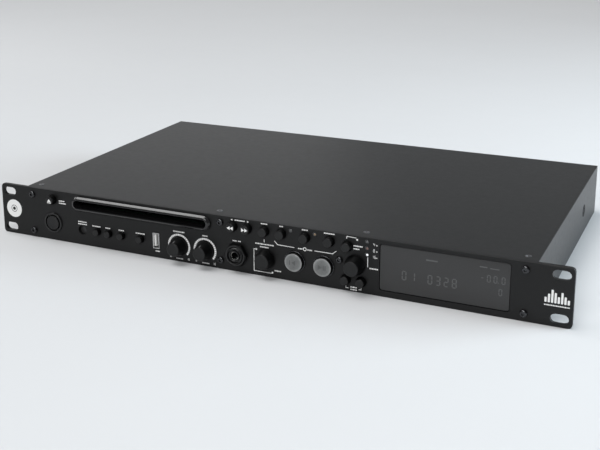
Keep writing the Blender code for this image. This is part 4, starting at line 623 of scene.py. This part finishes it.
def piece(name, builder, finish, body, stands_for=()):
    """A named piece from a builder in world places. It rides on a body and may stand for CAD nodes."""
    mesh = bpy.data.meshes.new(name)
    bmesh.ops.recalc_face_normals(builder, faces=builder.faces)
    builder.transform(Matrix.Scale(MM, 4))
    builder.to_mesh(mesh)
    builder.free()
    mesh.shade_smooth()
    mesh.set_sharp_from_angle(angle=SHARP_ANGLE)
    mesh.materials.append(FINISHES[finish])
    obj = placed(name, mesh)
    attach(obj, body)
    if stands_for:
        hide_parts(*stands_for)
    return obj


def stand_in(node, builder, finish=None):
    """A finer piece in place of one node, with that node's body, and its finish where none is given."""
    return piece(f"{node}_fine", builder, finish or SLOT_OF[node], BODY_OF[node], (node,))


def finish_side(obj, centre, radius, finish):
    """Gives another finish to what lies outside a radius or behind the panel's front. For the plain buttons,
    the knobs and the jack nut that finish is a darker copy of their own, which paints shade on their sides.
    """
    obj.data.materials.append(FINISHES[finish])
    for face in obj.data.polygons:
        middle = face.center / MM
        if math.hypot(middle.x - centre.x, middle.z - centre.z) > radius or middle.y > FRONT_Y:
            face.material_index = 1


def filleted(points):
    """An outline with rounded corners. A point is its two places, and its corner's radius if it has one."""
    path = []
    last = len(points) - 1
    for index, (radius, height, *fillet) in enumerate(points):
        corner = Vector((radius, height))
        if not fillet or index in (0, last):
            path.append(corner)
            continue
        before = Vector(points[index - 1][:2]) - corner
        after = Vector(points[index + 1][:2]) - corner
        half = before.angle(after) / 2
        reach = min(fillet[0] / math.tan(half), 0.49 * before.length, 0.49 * after.length)
        start, end = corner + before.normalized() * reach, corner + after.normalized() * reach
        for step in range(ARC_STEPS + 1):
            share = step / ARC_STEPS
            path.append((1 - share) ** 2 * start + 2 * share * (1 - share) * corner + share ** 2 * end)
    return path


def full_turn(steps):
    return [2 * math.pi * step / steps for step in range(steps)]


def circle_points(radius, angles):
    return [(radius * math.cos(angle), radius * math.sin(angle)) for angle in angles]


def turned_point(centre, radius, angle, reach):
    return (centre.x + radius * math.cos(angle), centre.y - reach, centre.z + radius * math.sin(angle))


def join(builder, first, second):
    """Faces between two rings with as many points, or between a ring and a single point."""
    for step in range(max(len(first), len(second))):
        places = ((first, step), (second, step), (second, step + 1), (first, step + 1))
        corners = list(dict.fromkeys(ring[place % len(ring)] for ring, place in places))
        if len(corners) > 2:
            builder.faces.new(corners)


def turned(centre, points, steps=TURN_STEPS):
    """Turns an outline of (radius, reach, corner radius) round a line that runs out of the panel."""
    builder = bmesh.new()
    angles = full_turn(steps)
    rings = []
    for radius, reach in filleted(points):
        around = angles if radius > SAME_PLACE else [0.0]
        rings.append([builder.verts.new(turned_point(centre, radius, angle, reach)) for angle in around])
    for first, second in zip(rings, rings[1:]):
        join(builder, first, second)
    return builder


def turned_ring(centre, points, steps=TURN_STEPS):
    """Turns an outline that closes on its first point, so that the piece has a bore."""
    builder = turned(centre, [*points, points[0]], steps)
    bmesh.ops.remove_doubles(builder, verts=builder.verts, dist=SAME_PLACE)
    return builder


def swept(rings, closed=False, builder=None):
    """Joins rings of points, all with as many points, and caps the ends where the sweep isn't closed."""
    builder = bmesh.new() if builder is None else builder
    loops = [[builder.verts.new(point) for point in ring] for ring in rings]
    for first, second in zip(loops, loops[1:]):
        join(builder, first, second)
    if closed:
        join(builder, loops[-1], loops[0])
    else:
        builder.faces.new(loops[0])
        builder.faces.new(loops[-1])
    return builder


def rounded_outline(width, height, corner, steps=MARK_STEPS):
    """Points of a rounded rectangle round the origin, as (across, up)."""
    points = []
    for quarter, (sx, sz) in enumerate(((1, 1), (-1, 1), (-1, -1), (1, -1))):
        middle_x, middle_z = sx * (width / 2 - corner), sz * (height / 2 - corner)
        for step in range(steps + 1):
            angle = math.pi / 2 * (quarter + step / steps)
            points.append((middle_x + corner * math.cos(angle), middle_z + corner * math.sin(angle)))
    return points


def moved(outline, x, z):
    return [(x + across, z + up) for across, up in outline]


def block(x, z, width, height):
    """A rectangle round a middle."""
    return moved([(-width / 2, -height / 2), (width / 2, -height / 2), (width / 2, height / 2),
                  (-width / 2, height / 2)], x, z)


def triangle(x, size, side, height):
    """A triangle round a middle, pointing left or right."""
    return [(x + side * size / 2, 0.0), (x - side * size / 2, height / 2), (x - side * size / 2, -height / 2)]


def level(outline, y):
    """An outline's (x, z) points at a depth."""
    return [(x, y, z) for x, z in outline]


def plate(builder, outline, low_y, high_y):
    """A closed flat piece of (x, z) points between two depths."""
    swept([level(outline, y) for y in (low_y, high_y)], builder=builder)


def print_mark(builder, outline):
    plate(builder, outline, FRONT_Y - INK_HEIGHT, FRONT_Y + INK_SINK)


def print_bar(builder, x, z, length, height=BAR_HEIGHT):
    """A label's place: a row of short dashes of differing length, round a middle."""
    lengths = []
    while sum(lengths) + DASH_GAP * (len(lengths) - 1) < length:
        lengths.append(DASHES[len(lengths) % len(DASHES)])
    share = (length - DASH_GAP * (len(lengths) - 1)) / sum(lengths)
    start = x - length / 2
    for dash in lengths:
        outline = rounded_outline(dash * share, height, BAR_CORNER_SHARE * height)
        print_mark(builder, moved(outline, start + dash * share / 2, z))
        start += dash * share + DASH_GAP


def print_dot(builder, x, z):
    print_mark(builder, moved(circle_points(DOT_RADIUS, full_turn(DOT_STEPS)), x, z))


def print_line(builder, points):
    """A line of even width through (x, z) points, mitred at its bends."""
    path = [Vector(point) for point in points]
    left, right = [], []
    for index, point in enumerate(path):
        before = (point - path[index - 1]).normalized() if index else None
        after = (path[index + 1] - point).normalized() if index < len(path) - 1 else None
        way = ((before or after) + (after or before)).normalized()
        side = Vector((-way.y, way.x))
        lean = side.dot(Vector((-(before or after).y, (before or after).x)))
        left.append(point + side * LINE_WIDTH / 2 / lean)
        right.append(point - side * LINE_WIDTH / 2 / lean)
    print_mark(builder, [tuple(point) for point in left + right[::-1]])


def print_arc(builder, x, z, inner, outer, start, end, steps):
    """A band of a ring from one angle to another, in degrees."""
    angles = [math.radians(start + (end - start) * step / steps) for step in range(steps + 1)]
    band = circle_points(outer, angles) + circle_points(inner, reversed(angles))
    print_mark(builder, moved(band, x, z))


def print_ring(builder, x, z, outer, inner, steps=DOT_STEPS):
    """A whole ring, as two half bands."""
    for start in (0, 180):
        print_arc(builder, x, z, inner, outer, start, start + 180, steps)


def digit_pieces(value, x, z, height):
    """The bars of a seven-part digit: each is a long hexagon, level or upright."""
    width, half = DIGIT_WIDTH_SHARE * height, height / 2
    tip, gap = DIGIT_BAR_SHARE * height / 2, DIGIT_GAP_SHARE * height
    for key in DIGIT_BARS[value]:
        upright = key in UPRIGHT_BARS
        if upright:
            side, way = UPRIGHT_BARS[key]
            middle = side * (width / 2 - tip)
            low, high = sorted((way * gap, way * (half - gap)))
        else:
            middle = LEVEL_BARS[key] * half
            high = width / 2 - tip - gap
            low = -high
        ends = low + tip, high - tip
        bar = [(low, 0.0), *((end, tip) for end in ends), (high, 0.0), *((end, -tip) for end in ends[::-1])]
        yield moved([(middle + out, along) if upright else (along, middle + out) for along, out in bar], x, z)


def print_number(builder, text, x, z, height=DIGIT_HEIGHT):
    """A plain number, set from its middle."""
    pitch = DIGIT_PITCH_SHARE * height
    start = x - pitch * (len(text) - 1) / 2
    for index, value in enumerate(text):
        for outline in digit_pieces(value, start + index * pitch, z, height):
            print_mark(builder, outline)


def print_labels(marks):
    for node, bars in LABELS.items():
        place = place_of(node)
        for across, up, length in bars:
            print_bar(marks, place.x + across, place.z + up, length)


def print_knob_scales(marks):
    """The broad white arcs round the two volume knobs, with a plain number at each end."""
    first, last = SCALE_ANGLES
    pitch = (last - first) / SCALE_TICKS
    for node in VOLUME_KNOBS:
        place, _, _, radius = measures(node)
        inner, outer = (radius + edge for edge in SCALE_EDGES)
        for tick in range(SCALE_TICKS):
            start = first + pitch * tick
            end = start + SCALE_TICK_SHARE * pitch
            print_arc(marks, place.x, place.z, inner, outer, start, end, MARK_STEPS)
        for text, across, up in SCALE_NUMBERS:
            print_number(marks, text, place.x + across, place.z + up)


def print_ties(marks):
    """The thin lines, dots, ring and arrows that tie controls to their labels."""
    for node, lines in LINES.items():
        place = place_of(node)
        for points in lines:
            print_line(marks, moved(points, place.x, place.z))
    for node, dots in DOTS.items():
        place = place_of(node)
        for across, up in dots:
            print_dot(marks, place.x + across, place.z + up)
    loop = place_of("loop_in_button")
    across, up, outer, inner = LOOP_RING
    print_ring(marks, loop.x + across, loop.z + up, outer, inner)
    search = place_of("search_back_button")
    for across, side in SEARCH_ARROWS:
        arrow = triangle(across, SEARCH_ARROW_SIZE, side, SEARCH_ARROW_SIZE)
        print_mark(marks, moved(arrow, search.x, search.z + SEARCH_ARROW_UP))


def print_pitch_scale(marks):
    """The pitch ranges beside their lamps, and the line down to their label."""
    x = place_of("pitch_light_guide").x
    across, size = PITCH_NUMBER
    unit_across, unit_up, unit_length = PITCH_UNIT
    for text, up in PITCH_NUMBERS:
        print_number(marks, text, x + across, up, size)
        print_bar(marks, x + unit_across, up + unit_up, unit_length)
    across, high, low = PITCH_LINE
    print_line(marks, [(x + across, high), (x + across, low)])
    across, up, length = PITCH_LABEL
    print_bar(marks, x + across, up, length)


def print_ear_marks(marks):
    """A plain disc sign on the left ear and plain level bars on the right one, where names stood."""
    across, up = EAR_DISC
    for outer, inner, steps in EAR_DISC_RINGS:
        print_ring(marks, across - EAR_SLOT_X, up, outer, inner, steps)
    middle = EAR_SLOT_X - EAR_LEVEL_PITCH
    start = middle - EAR_LEVEL_PITCH * (len(EAR_LEVELS) - 1) / 2
    for index, size in enumerate(EAR_LEVELS):
        outline = rounded_outline(EAR_LEVEL_WIDTH, size, EAR_LEVEL_CORNER)
        print_mark(marks, moved(outline, start + index * EAR_LEVEL_PITCH, EAR_LEVEL_FOOT + size / 2))
    up, length, height = EAR_BAR
    print_bar(marks, middle, up, length, height)


def make_print():
    marks = bmesh.new()
    print_labels(marks)
    print_knob_scales(marks)
    print_ties(marks)
    print_pitch_scale(marks)
    print_ear_marks(marks)
    piece("panel_print", marks, "ink_white", BODY_OF["front_panel"])


def make_buttons():
    """Each button's cap, the collar that keeps it in and its stem."""
    collar_end = -PANEL_BACK - COLLAR_THICKNESS
    for node in BUTTONS:
        place, reach, end, collar = measures(node)
        radius = collar - COLLAR_MARGIN
        top = BUTTON_TOP_SHARE * radius
        builder = turned(place, [
            (0.0, reach), (radius / 2, reach - BUTTON_CROWN / 4),
            (top, reach - BUTTON_CROWN, BUTTON_EDGE),
            (radius, BUTTON_SHOULDER_SHARE * reach, BUTTON_EDGE), (radius, -PANEL_BACK),
            (collar, -PANEL_BACK, SMALL_EDGE), (collar, collar_end, SMALL_EDGE),
            (STEM_RADIUS, collar_end), (STEM_RADIUS, end, SMALL_EDGE), (0.0, end),
        ])
        # The cap's side gets a darker copy of its finish: painted shade.
        finish_side(stand_in(node, builder), place, top - BUTTON_FACE_INSET, "button_side_painted_shade")


def make_lit_buttons():
    collar_end = -LIT_COLLAR_START - COLLAR_THICKNESS
    for node in ("cue_button", "play_button"):
        place, reach, end, _ = measures(node)
        milky = f"milky_{node}"
        # Each cap's material gets a painted rim light, centred on that cap's face.
        FINISHES[milky] = made(milky, milky_cap_painted_rim_light, (place.x, FRONT_Y - reach, place.z))
        cap = stand_in(node, turned(place, [
            (0.0, reach), (LIT_RADIUS / 2, reach - LIT_CROWN / 4),
            (LIT_RADIUS, reach - LIT_CROWN, LIT_EDGE), (LIT_RADIUS, -LIT_COLLAR_START),
            (LIT_COLLAR_RADIUS, -LIT_COLLAR_START), (LIT_COLLAR_RADIUS, collar_end),
            (STEM_RADIUS, collar_end), (STEM_RADIUS, end), (0.0, end),
        ]), milky)
        finish_side(cap, place, LIT_RADIUS - LIT_FACE_INSET, "button_black")


def make_lit_rings():
    for node in ("cue_ring", "play_ring"):
        place, reach, end, outer = measures(node)
        bore = LIT_RADIUS + LIT_RING_GAP
        stand_in(node, turned_ring(place, [
            (bore, end), (bore, reach, 0.25), (outer, reach, 0.5), (outer, PANEL_GAP),
            (LIT_COLLAR_RADIUS, PANEL_GAP), (LIT_COLLAR_RADIUS, end),
        ]), "ring_dark")


def sign_on(node, name, outlines, finish):
    """Flat signs on a button's face. Each outline is (across, up) from the button's middle."""
    place, reach, _, _ = measures(node)
    face = FRONT_Y - reach
    builder = bmesh.new()
    for outline in outlines:
        plate(builder, moved(outline, place.x, place.z), face - INK_SINK / 2, face + SIGN_DEPTH)
    piece(name, builder, finish, BODY_OF[node])


def make_signs():
    """The common signs: eject, search back and on, play with pause, and back to the start."""
    up = [(0.0, 1.7), (-1.9, -0.7), (1.9, -0.7)]
    sign_on("eject_button", "eject_sign", [up, block(0.0, -1.55, 3.8, 0.7)], "ink_white")
    for node, side in (("search_back_button", -1), ("search_forward_button", 1)):
        arrows = [triangle(x, 2.6, side, 3.0) for x in (-1.35, 1.35)]
        sign_on(node, node.replace("_button", "_sign"), arrows, "ink_white")
    bars = [block(x, 0.0, 0.7, 3.8) for x in (1.2, 2.6)]
    sign_on("play_button", "play_sign", [triangle(-1.7, 3.2, 1, 3.8), *bars], "ink_grey")
    sign_on("cue_button", "cue_sign", [triangle(0.2, 3.2, -1, 3.8), block(-2.75, 0.0, 0.7, 3.8)], "ink_grey")


def make_knobs():
    """Tapered knobs with a dished face and a short skirt. The track knob has a bore, the others a shaft."""
    for node, face in KNOB_FACES.items():
        place, reach, end, radius = measures(node)
        if node == "track_knob":
            lift, (foot, depth) = end, TRACK_BORE
            foot_end = lift + depth
        else:
            lift, foot, foot_end = KNOB_LIFT, SHAFT_RADIUS, end
        dish, rim = (share * face for share in KNOB_DISH_SHARES)
        builder = turned(place, [
            (0.0, reach - KNOB_DISH), (dish, reach - KNOB_DISH, 0.4), (rim, reach, 0.3),
            (face, reach, KNOB_FACE_EDGE), (radius, lift + KNOB_SKIRT, 0.8), (radius, lift, 0.2),
            (foot, lift), (foot, foot_end), (0.0, foot_end),
        ])
        # The knob's side gets a darker copy of its finish: painted shade.
        finish_side(stand_in(node, builder), place, face, "knob_side_painted_shade")


def make_pointers():
    """A thin inlay down the side of each volume knob, which shows where it is set."""
    for node in VOLUME_KNOBS:
        place, reach, _, radius = measures(node)
        face = KNOB_FACES[node]
        way = Vector((radius - face, KNOB_LIFT + KNOB_SKIRT - reach)).normalized()
        sunk, proud = POINTER_DEPTHS
        rings = []
        for along in (POINTER_START, POINTER_START + POINTER_LENGTH):
            middle = Vector((face, reach)) + way * along
            ring = []
            for across, out in ((-1, sunk), (1, sunk), (1, proud), (-1, proud)):
                up, front = middle.x - out * way.y, middle.y + out * way.x
                ring.append((place.x + across * POINTER_WIDTH / 2, FRONT_Y - front, place.z + up))
            rings.append(ring)
        piece(node.replace("_knob", "_pointer"), swept(rings), "pointer_grey", BODY_OF[node])


def make_bezel():
    """The slot's bezel: a sloping ring with rounded ends, its mouth and the collar through the panel."""
    node = "slot_bezel"
    low, high = box_of(node)
    centre, reach, end, _ = measures(node)
    border_x, border_z = BEZEL_BORDER
    inset, climb = BEZEL_SLOPE
    section = filleted([
        (0.0, PANEL_GAP), (0.0, BEZEL_RISE, 0.5), (inset, BEZEL_RISE + climb, 0.8),
        (border_z, reach, 0.5), (border_z, end),
    ])
    collar = border_z - BEZEL_WALL
    rings = []
    for inset, out in [(collar, end), (collar, PANEL_GAP), *section]:
        width = high.x - low.x - 2 * border_x * inset / border_z
        height = high.z - low.z - 2 * inset
        outline = rounded_outline(width, height, STADIUM_SHARE * height, BEZEL_STEPS)
        rings.append(level(moved(outline, centre.x, centre.z), FRONT_Y - out))
    stand_in(node, swept(rings, closed=True))


def layered(node, corner, steps, layers):
    """A node's rounded block. Each layer is how far inside the node's box it lies, and its depth."""
    low, high = box_of(node)
    centre = (low + high) / 2
    rings = []
    for inset, y in layers:
        width, height = high.x - low.x - 2 * inset, high.z - low.z - 2 * inset
        outline = rounded_outline(width, height, corner, steps)
        rings.append(level(moved(outline, centre.x, centre.z), y))
    stand_in(node, swept(rings))


def hexagon(angle):
    """The share of its corner radius that a hexagon reaches at this angle."""
    return math.cos(HEX_PART / 2) / math.cos(angle % HEX_PART - HEX_PART / 2)


def make_panel_screws():
    """Round-headed screws with a hexagon socket."""
    for node in sorted(name for name in NODES if name.startswith("panel_screw")):
        place, reach, end, radius = measures(node)
        brim = PANEL_GAP + SCREW_BRIM
        rim_radius = SCREW_SOCKET + 0.25
        outline = [(0.0, end), (SCREW_STEM, end), (SCREW_STEM, PANEL_GAP), (radius, PANEL_GAP)]
        for step in range(DOME_STEPS + 1):
            angle = math.pi / 2 * step / DOME_STEPS
            across = rim_radius + (radius - rim_radius) * math.cos(angle)
            outline.append((across, brim + (reach - brim) * math.sin(angle)))
        builder = turned(place, outline, RING_STEPS)
        rim = [vert for vert in builder.verts if abs(FRONT_Y - reach - vert.co.y) < SAME_PLACE]
        rim.sort(key=lambda vert: math.atan2(vert.co.z - place.z, vert.co.x - place.x) % (2 * math.pi))
        angles = full_turn(len(rim))
        previous = rim
        for depth, share in SOCKET_LEVELS:
            across = [SCREW_SOCKET * share * hexagon(angle) for angle in angles]
            points = (turned_point(place, *polar, reach - depth) for polar in zip(across, angles))
            ring = [builder.verts.new(point) for point in points]
            join(builder, previous, ring)
            previous = ring
        builder.faces.new(previous)
        stand_in(node, builder)


def make_jack():
    """The microphone jack: a threaded bush with a groove in its front, and its body behind the panel."""
    node = "mic_jack"
    place, reach, end, _ = measures(node)
    bush, floor, rim = JACK_BUSH_RADIUS, end + JACK_FLOOR, reach - JACK_RIM_SINK
    groove = reach - JACK_GROOVE_DEPTH
    lip, groove_inner, groove_outer, edge = JACK_GROOVE
    outline = [(0.0, floor), (JACK_BORE, floor), (JACK_BORE, reach - 1.2, 0.3)]
    outline += [(JACK_BORE + 0.5, rim, 0.2), (lip, rim, 0.2), (groove_inner, groove, 0.2)]
    outline += [(groove_outer, groove, 0.2), (edge, reach, 0.2), (bush, reach, 0.2)]
    height = reach - THREAD_START
    for _ in range(int(height / THREAD_PITCH)):
        outline += [(bush, height), (bush - THREAD_DEPTH, height - THREAD_PITCH / 2)]
        height -= THREAD_PITCH
    outline += [(bush, 0.0), (bush, -PANEL_BACK), (JACK_BODY_RADIUS, -PANEL_BACK, 0.5)]
    outline += [(JACK_BODY_RADIUS, end, 0.5), (0.0, end)]
    stand_in(node, turned(place, outline, JACK_STEPS))


def make_jack_trim():
    """The hexagon nut, whose corners are chamfered round its face, and the contact ring in the bore."""
    node = "mic_jack_nut"
    low, high = box_of(node)
    place, reach, _, _ = measures(node)
    corner = max(high.x - low.x, high.z - low.z) / 2
    flat = corner * math.cos(HEX_PART / 2)
    angles = full_turn(NUT_STEPS)
    builder = swept([
        [turned_point(place, min(corner * hexagon(angle), radius), angle, height) for angle in angles]
        for radius, height in (
            (corner - 0.25, PANEL_GAP), (corner, 2 * PANEL_GAP), (corner, reach - 0.65),
            (corner - 0.45, reach - 0.30), (flat - 0.25, reach), (NUT_HOLE + 0.5, reach),
            (NUT_HOLE, reach - 0.5), (NUT_HOLE, PANEL_GAP),
        )
    ], closed=True)
    # The nut's sides get the knobs' darker side finish: painted shade.
    finish_side(stand_in(node, builder), place, flat - 0.2, "knob_side_painted_shade")
    place, reach, _, _ = measures("mic_jack")
    inner, outer = CONTACT_RADII
    top = reach - CONTACT_SINK
    back = top - CONTACT_LENGTH
    contact = [(inner, back), (inner, top, SMALL_EDGE), (outer, top, SMALL_EDGE), (outer, back)]
    piece("mic_jack_contact_ring", turned_ring(place, contact, RING_STEPS), "nickel", BODY_OF["mic_jack"])


def make_power_switch():
    """The power switch: its housing with a groove round the button, and the button with a dished face."""
    node = "power_switch_housing"
    place, reach, end, outer = measures(node)
    _, face, back, button = measures("power_button")
    bore = button + PANEL_GAP
    stand_in(node, turned(place, [
        (0.0, -POWER_FLOOR), (bore, -POWER_FLOOR), (bore, -POWER_GROOVE_DEPTH),
        (POWER_GROOVE_RADIUS, -POWER_GROOVE_DEPTH, SMALL_EDGE),
        (POWER_GROOVE_RADIUS + 0.1, reach, 0.25), (outer - POWER_RIM, reach, 0.4),
        (outer, PANEL_GAP, 0.15), (POWER_COLLAR_RADIUS, PANEL_GAP),
        (POWER_COLLAR_RADIUS, -POWER_COLLAR_END), (POWER_BODY_RADIUS, -POWER_COLLAR_END),
        (POWER_BODY_RADIUS, end, 0.5), (0.0, end),
    ]))
    stand_in("power_button", turned(place, [
        (0.0, face - 0.35), (0.55 * button, face - 0.25, 0.5), (0.86 * button, face, 0.4),
        (button, face, 0.6), (button, back, 0.2), (0.0, back),
    ]))


def make_lamps():
    """Small domes where the light guides come through the panel."""
    x = place_of("pitch_light_guide").x + 0.3
    loop_low, loop_high = box_of("loop_light_guide")
    for name, across, up, finish in (
        ("loop_lamp_left", loop_low.x + 1.8, 40.3, "lamp_off"),
        ("loop_lamp_right", loop_high.x - 1.2, 40.3, "lamp_amber"),
        ("pitch_lamp_high", x, 40.6, "lamp_off"),
        ("pitch_lamp_middle", x, 35.6, "lamp_rose"),
        ("pitch_lamp_low", x, 30.7, "lamp_pale"),
    ):
        dome = turned(Vector((across, FRONT_Y, up)), LAMP_DOME, LAMP_STEPS)
        piece(name, dome, finish, BODY_OF["front_panel"])


def make_display_lens():
    """The lens with a rounded front edge and its clamping flange behind the panel."""
    low, high = box_of("display_window")
    rest = 0.3 * LENS_EDGE
    panel, flange = FRONT_Y + PANEL_BACK, FRONT_Y + LENS_FLANGE_BACK
    layered("display_window", LENS_CORNER, LENS_STEPS, (
        (LENS_FLANGE + LENS_EDGE, low.y), (LENS_FLANGE + rest, low.y + rest),
        (LENS_FLANGE, low.y + LENS_EDGE), (LENS_FLANGE, panel), (0.0, panel), (0.0, flange),
        (LENS_FLANGE, flange), (LENS_FLANGE, high.y),
    ))


def make_display_marks():
    """Faint unlit figures and small flags just in front of the lens."""
    low, high = box_of("display_window")
    start = {1: low.x + FIGURE_MARGIN, -1: high.x - FIGURE_MARGIN}
    outlines = []
    for text, side, across, z, height, pitch in FIGURES:
        for index, value in enumerate(text):
            outlines += digit_pieces(value, start[side] + side * across + index * pitch, z, height)
    for side, across, z, length, height in FLAGS:
        outline = rounded_outline(length, height, 0.3 * height, 4)
        outlines.append(moved(outline, start[side] + side * across, z))
    proud, sunk = FIGURE_DEPTHS
    builder = bmesh.new()
    for outline in outlines:
        plate(builder, outline, low.y - proud, low.y + sunk)
    piece("display_figures", builder, "segment_grey", BODY_OF["display_window"])


def low_head(name, centre, radius, finish, side=0):
    """A low round head with a dished middle on the cover. It faces up, or out to a side."""
    builder = turned(Vector((0, 0, 0)), [
        (0.0, -0.6), (radius, -0.6), (radius, 0.4 * HEAD_HEIGHT, 0.1),
        (0.82 * radius, HEAD_HEIGHT, 0.1), (0.45 * radius, HEAD_HEIGHT, 0.05),
        (0.30 * radius, HEAD_HEIGHT - 0.5), (0.0, HEAD_HEIGHT - 0.6),
    ], HEAD_STEPS)
    facing = Matrix.Rotation(side * math.pi / 2, 4, "Y") @ Matrix.Rotation(-math.pi / 2, 4, "X")
    builder.transform(Matrix.Translation(centre) @ facing)
    piece(name, builder, finish, BODY_OF["top_cover"])


def make_case_screws():
    """Four screws along the cover's front edge and a dark round plug on each side wall."""
    low, high = box_of("top_cover")
    xs = (low.x + COVER_SCREW_SIDE, *COVER_SCREW_MIDDLES, high.x - COVER_SCREW_SIDE)
    for index, x in enumerate(xs):
        centre = (x, low.y + COVER_SCREW_INSET, high.z)
        low_head(f"cover_screw_{index + 1}", centre, COVER_SCREW_RADIUS, "screw_grey")
    back, up = PLUG_PLACE
    for side, name in ((-1, "left"), (1, "right")):
        low_head(f"side_plug_{name}", (side * high.x, low.y + back, up), PLUG_RADIUS, "plug_dark", side)


def soften(node, width):
    """Rounds a sheet or block's sharp edges by a width in millimetres."""
    modifiers = NODES[node].modifiers
    modifiers.new("weld", "WELD").merge_threshold = 1e-5
    flat = modifiers.new("flat", "DECIMATE")
    flat.decimate_type = "DISSOLVE"
    flat.angle_limit = math.radians(1)
    bevel = modifiers.new("edge", "BEVEL")
    bevel.width = width * MM
    bevel.segments = 3
    bevel.limit_method = "ANGLE"
    bevel.angle_limit = math.radians(40)


def make_output_sockets():
    """Two audio sockets on a black block: a nickel shell with a coloured ring sunk in its end."""
    node = "output_jacks"
    low, high = box_of(node)
    centre = (low + high) / 2
    back = high.y - SOCKET_REACH
    layered(node, SOCKET_CORNER, SOCKET_STEPS, (
        (SOCKET_FLANGE, low.y), (SOCKET_FLANGE, back + 0.3), (0.0, back + 0.3), (0.0, back + 1.3),
        (0.2, back + 1.5), (SOCKET_FLANGE, back + 1.5), (SOCKET_FLANGE, back + SOCKET_FOOT),
    ))
    length = SOCKET_REACH - SOCKET_FOOT
    for name, side, colour in (("high", 1, "ring_white"), ("low", -1, "ring_red")):
        tip = Vector((centre.x, high.y, centre.z + side * SOCKET_SPACING / 2))
        for part, (inner, outer, sunk), finish in (
            ("shell", SOCKET_SHELL, "nickel"), ("ring", SOCKET_RING, colour),
        ):
            builder = turned_ring(tip, [
                (inner, length), (inner, sunk, SOCKET_EDGE), (outer, sunk, SOCKET_EDGE), (outer, length),
            ], RING_STEPS)
            piece(f"output_{part}_{name}", builder, finish, BODY_OF[node])


def make_floor():
    """A pale floor that runs up into a pale wall."""
    start = WALL_Y - FLOOR_CURVE
    path = [(-FLOOR_HALF, 0.0), (start, 0.0)]
    for step in range(1, CURVE_STEPS + 1):
        angle = math.pi / 2 * step / CURVE_STEPS
        path.append((start + FLOOR_CURVE * math.sin(angle), FLOOR_CURVE - FLOOR_CURVE * math.cos(angle)))
    path.append((WALL_Y, WALL_TOP))
    builder = bmesh.new()
    rows = [[builder.verts.new((x, y, z)) for x in (-FLOOR_HALF, FLOOR_HALF)] for y, z in path]
    for first, second in zip(rows, rows[1:]):
        builder.faces.new((first[0], first[1], second[1], second[0]))
    mesh = bpy.data.meshes.new("floor")
    builder.to_mesh(mesh)
    builder.free()
    mesh.shade_smooth()
    finish = Finish("floor_pale")
    finish.colour(finish.shaded(finish.noise(3.0, 3.0), (0.600, 0.608, 0.618), (0.612, 0.620, 0.630)))
    finish.rough(finish.noise(40.0, 3.0), 0.80, 0.90)
    mesh.materials.append(finish.material)
    floor = placed("floor", mesh)


def add_light(name, kind):
    """A light of a kind, in the scene."""
    data = bpy.data.lights.new(name, kind)
    return placed(name, data), data


def make_light():
    """A dim world, a soft sun from above, and panels in front, at both sides and behind for the cover."""
    world = bpy.data.worlds.new("studio")
    world.use_nodes = True
    background = world.node_tree.nodes["Background"]
    background.inputs["Color"].default_value = WORLD_COLOUR
    background.inputs["Strength"].default_value = WORLD_STRENGTH
    bpy.context.scene.world = world
    sun, data = add_light("soft_sun", "SUN")
    data.energy = SUN_STRENGTH
    data.angle = SUN_ANGLE
    sun.rotation_euler = Vector(SUN_SIDE).to_track_quat("Z", "Y").to_euler()
    for name, (place, target, size, power, colour, spread) in LIGHT_PANELS.items():
        panel, data = add_light(name, "AREA")
        data.shape = "RECTANGLE"
        data.size, data.size_y = size
        data.energy = power
        data.color = colour
        data.spread = spread
        panel.location = place
        panel.rotation_euler = (Vector(target) - Vector(place)).to_track_quat("-Z", "Y").to_euler()


def make_camera():
    data = bpy.data.cameras.new("camera")
    data.lens = CAMERA_LENS
    data.sensor_width = CAMERA_SENSOR
    data.shift_x, data.shift_y = CAMERA_SHIFT
    data.clip_start = CAMERA_NEAR
    camera = placed("camera", data)
    ground = math.cos(CAMERA_ELEVATION)
    back = Vector((
        math.sin(CAMERA_AZIMUTH) * ground, -math.cos(CAMERA_AZIMUTH) * ground, math.sin(CAMERA_ELEVATION),
    ))
    right = Vector((math.cos(CAMERA_AZIMUTH), math.sin(CAMERA_AZIMUTH), 0.0))
    up = back.cross(right)
    across = right * math.cos(CAMERA_ROLL) + up * math.sin(CAMERA_ROLL)
    above = up * math.cos(CAMERA_ROLL) - right * math.sin(CAMERA_ROLL)
    facing = Matrix((across, above, back)).transposed().to_4x4()
    camera.matrix_world = Matrix.Translation(CAMERA_PLACE) @ facing
    bpy.context.scene.camera = camera


finish_cad_nodes()
make_print()
make_buttons()
make_lit_buttons()
make_signs()
make_lit_rings()
make_knobs()
make_pointers()
make_bezel()
make_panel_screws()
make_jack()
make_jack_trim()
make_power_switch()
make_lamps()
make_display_lens()
make_display_marks()
make_case_screws()
make_output_sockets()
soften("top_cover", 0.45)
soften("mains_inlet", 0.3)
make_floor()
make_light()
make_camera()
bpy.context.scene.view_settings.view_transform = "Standard"
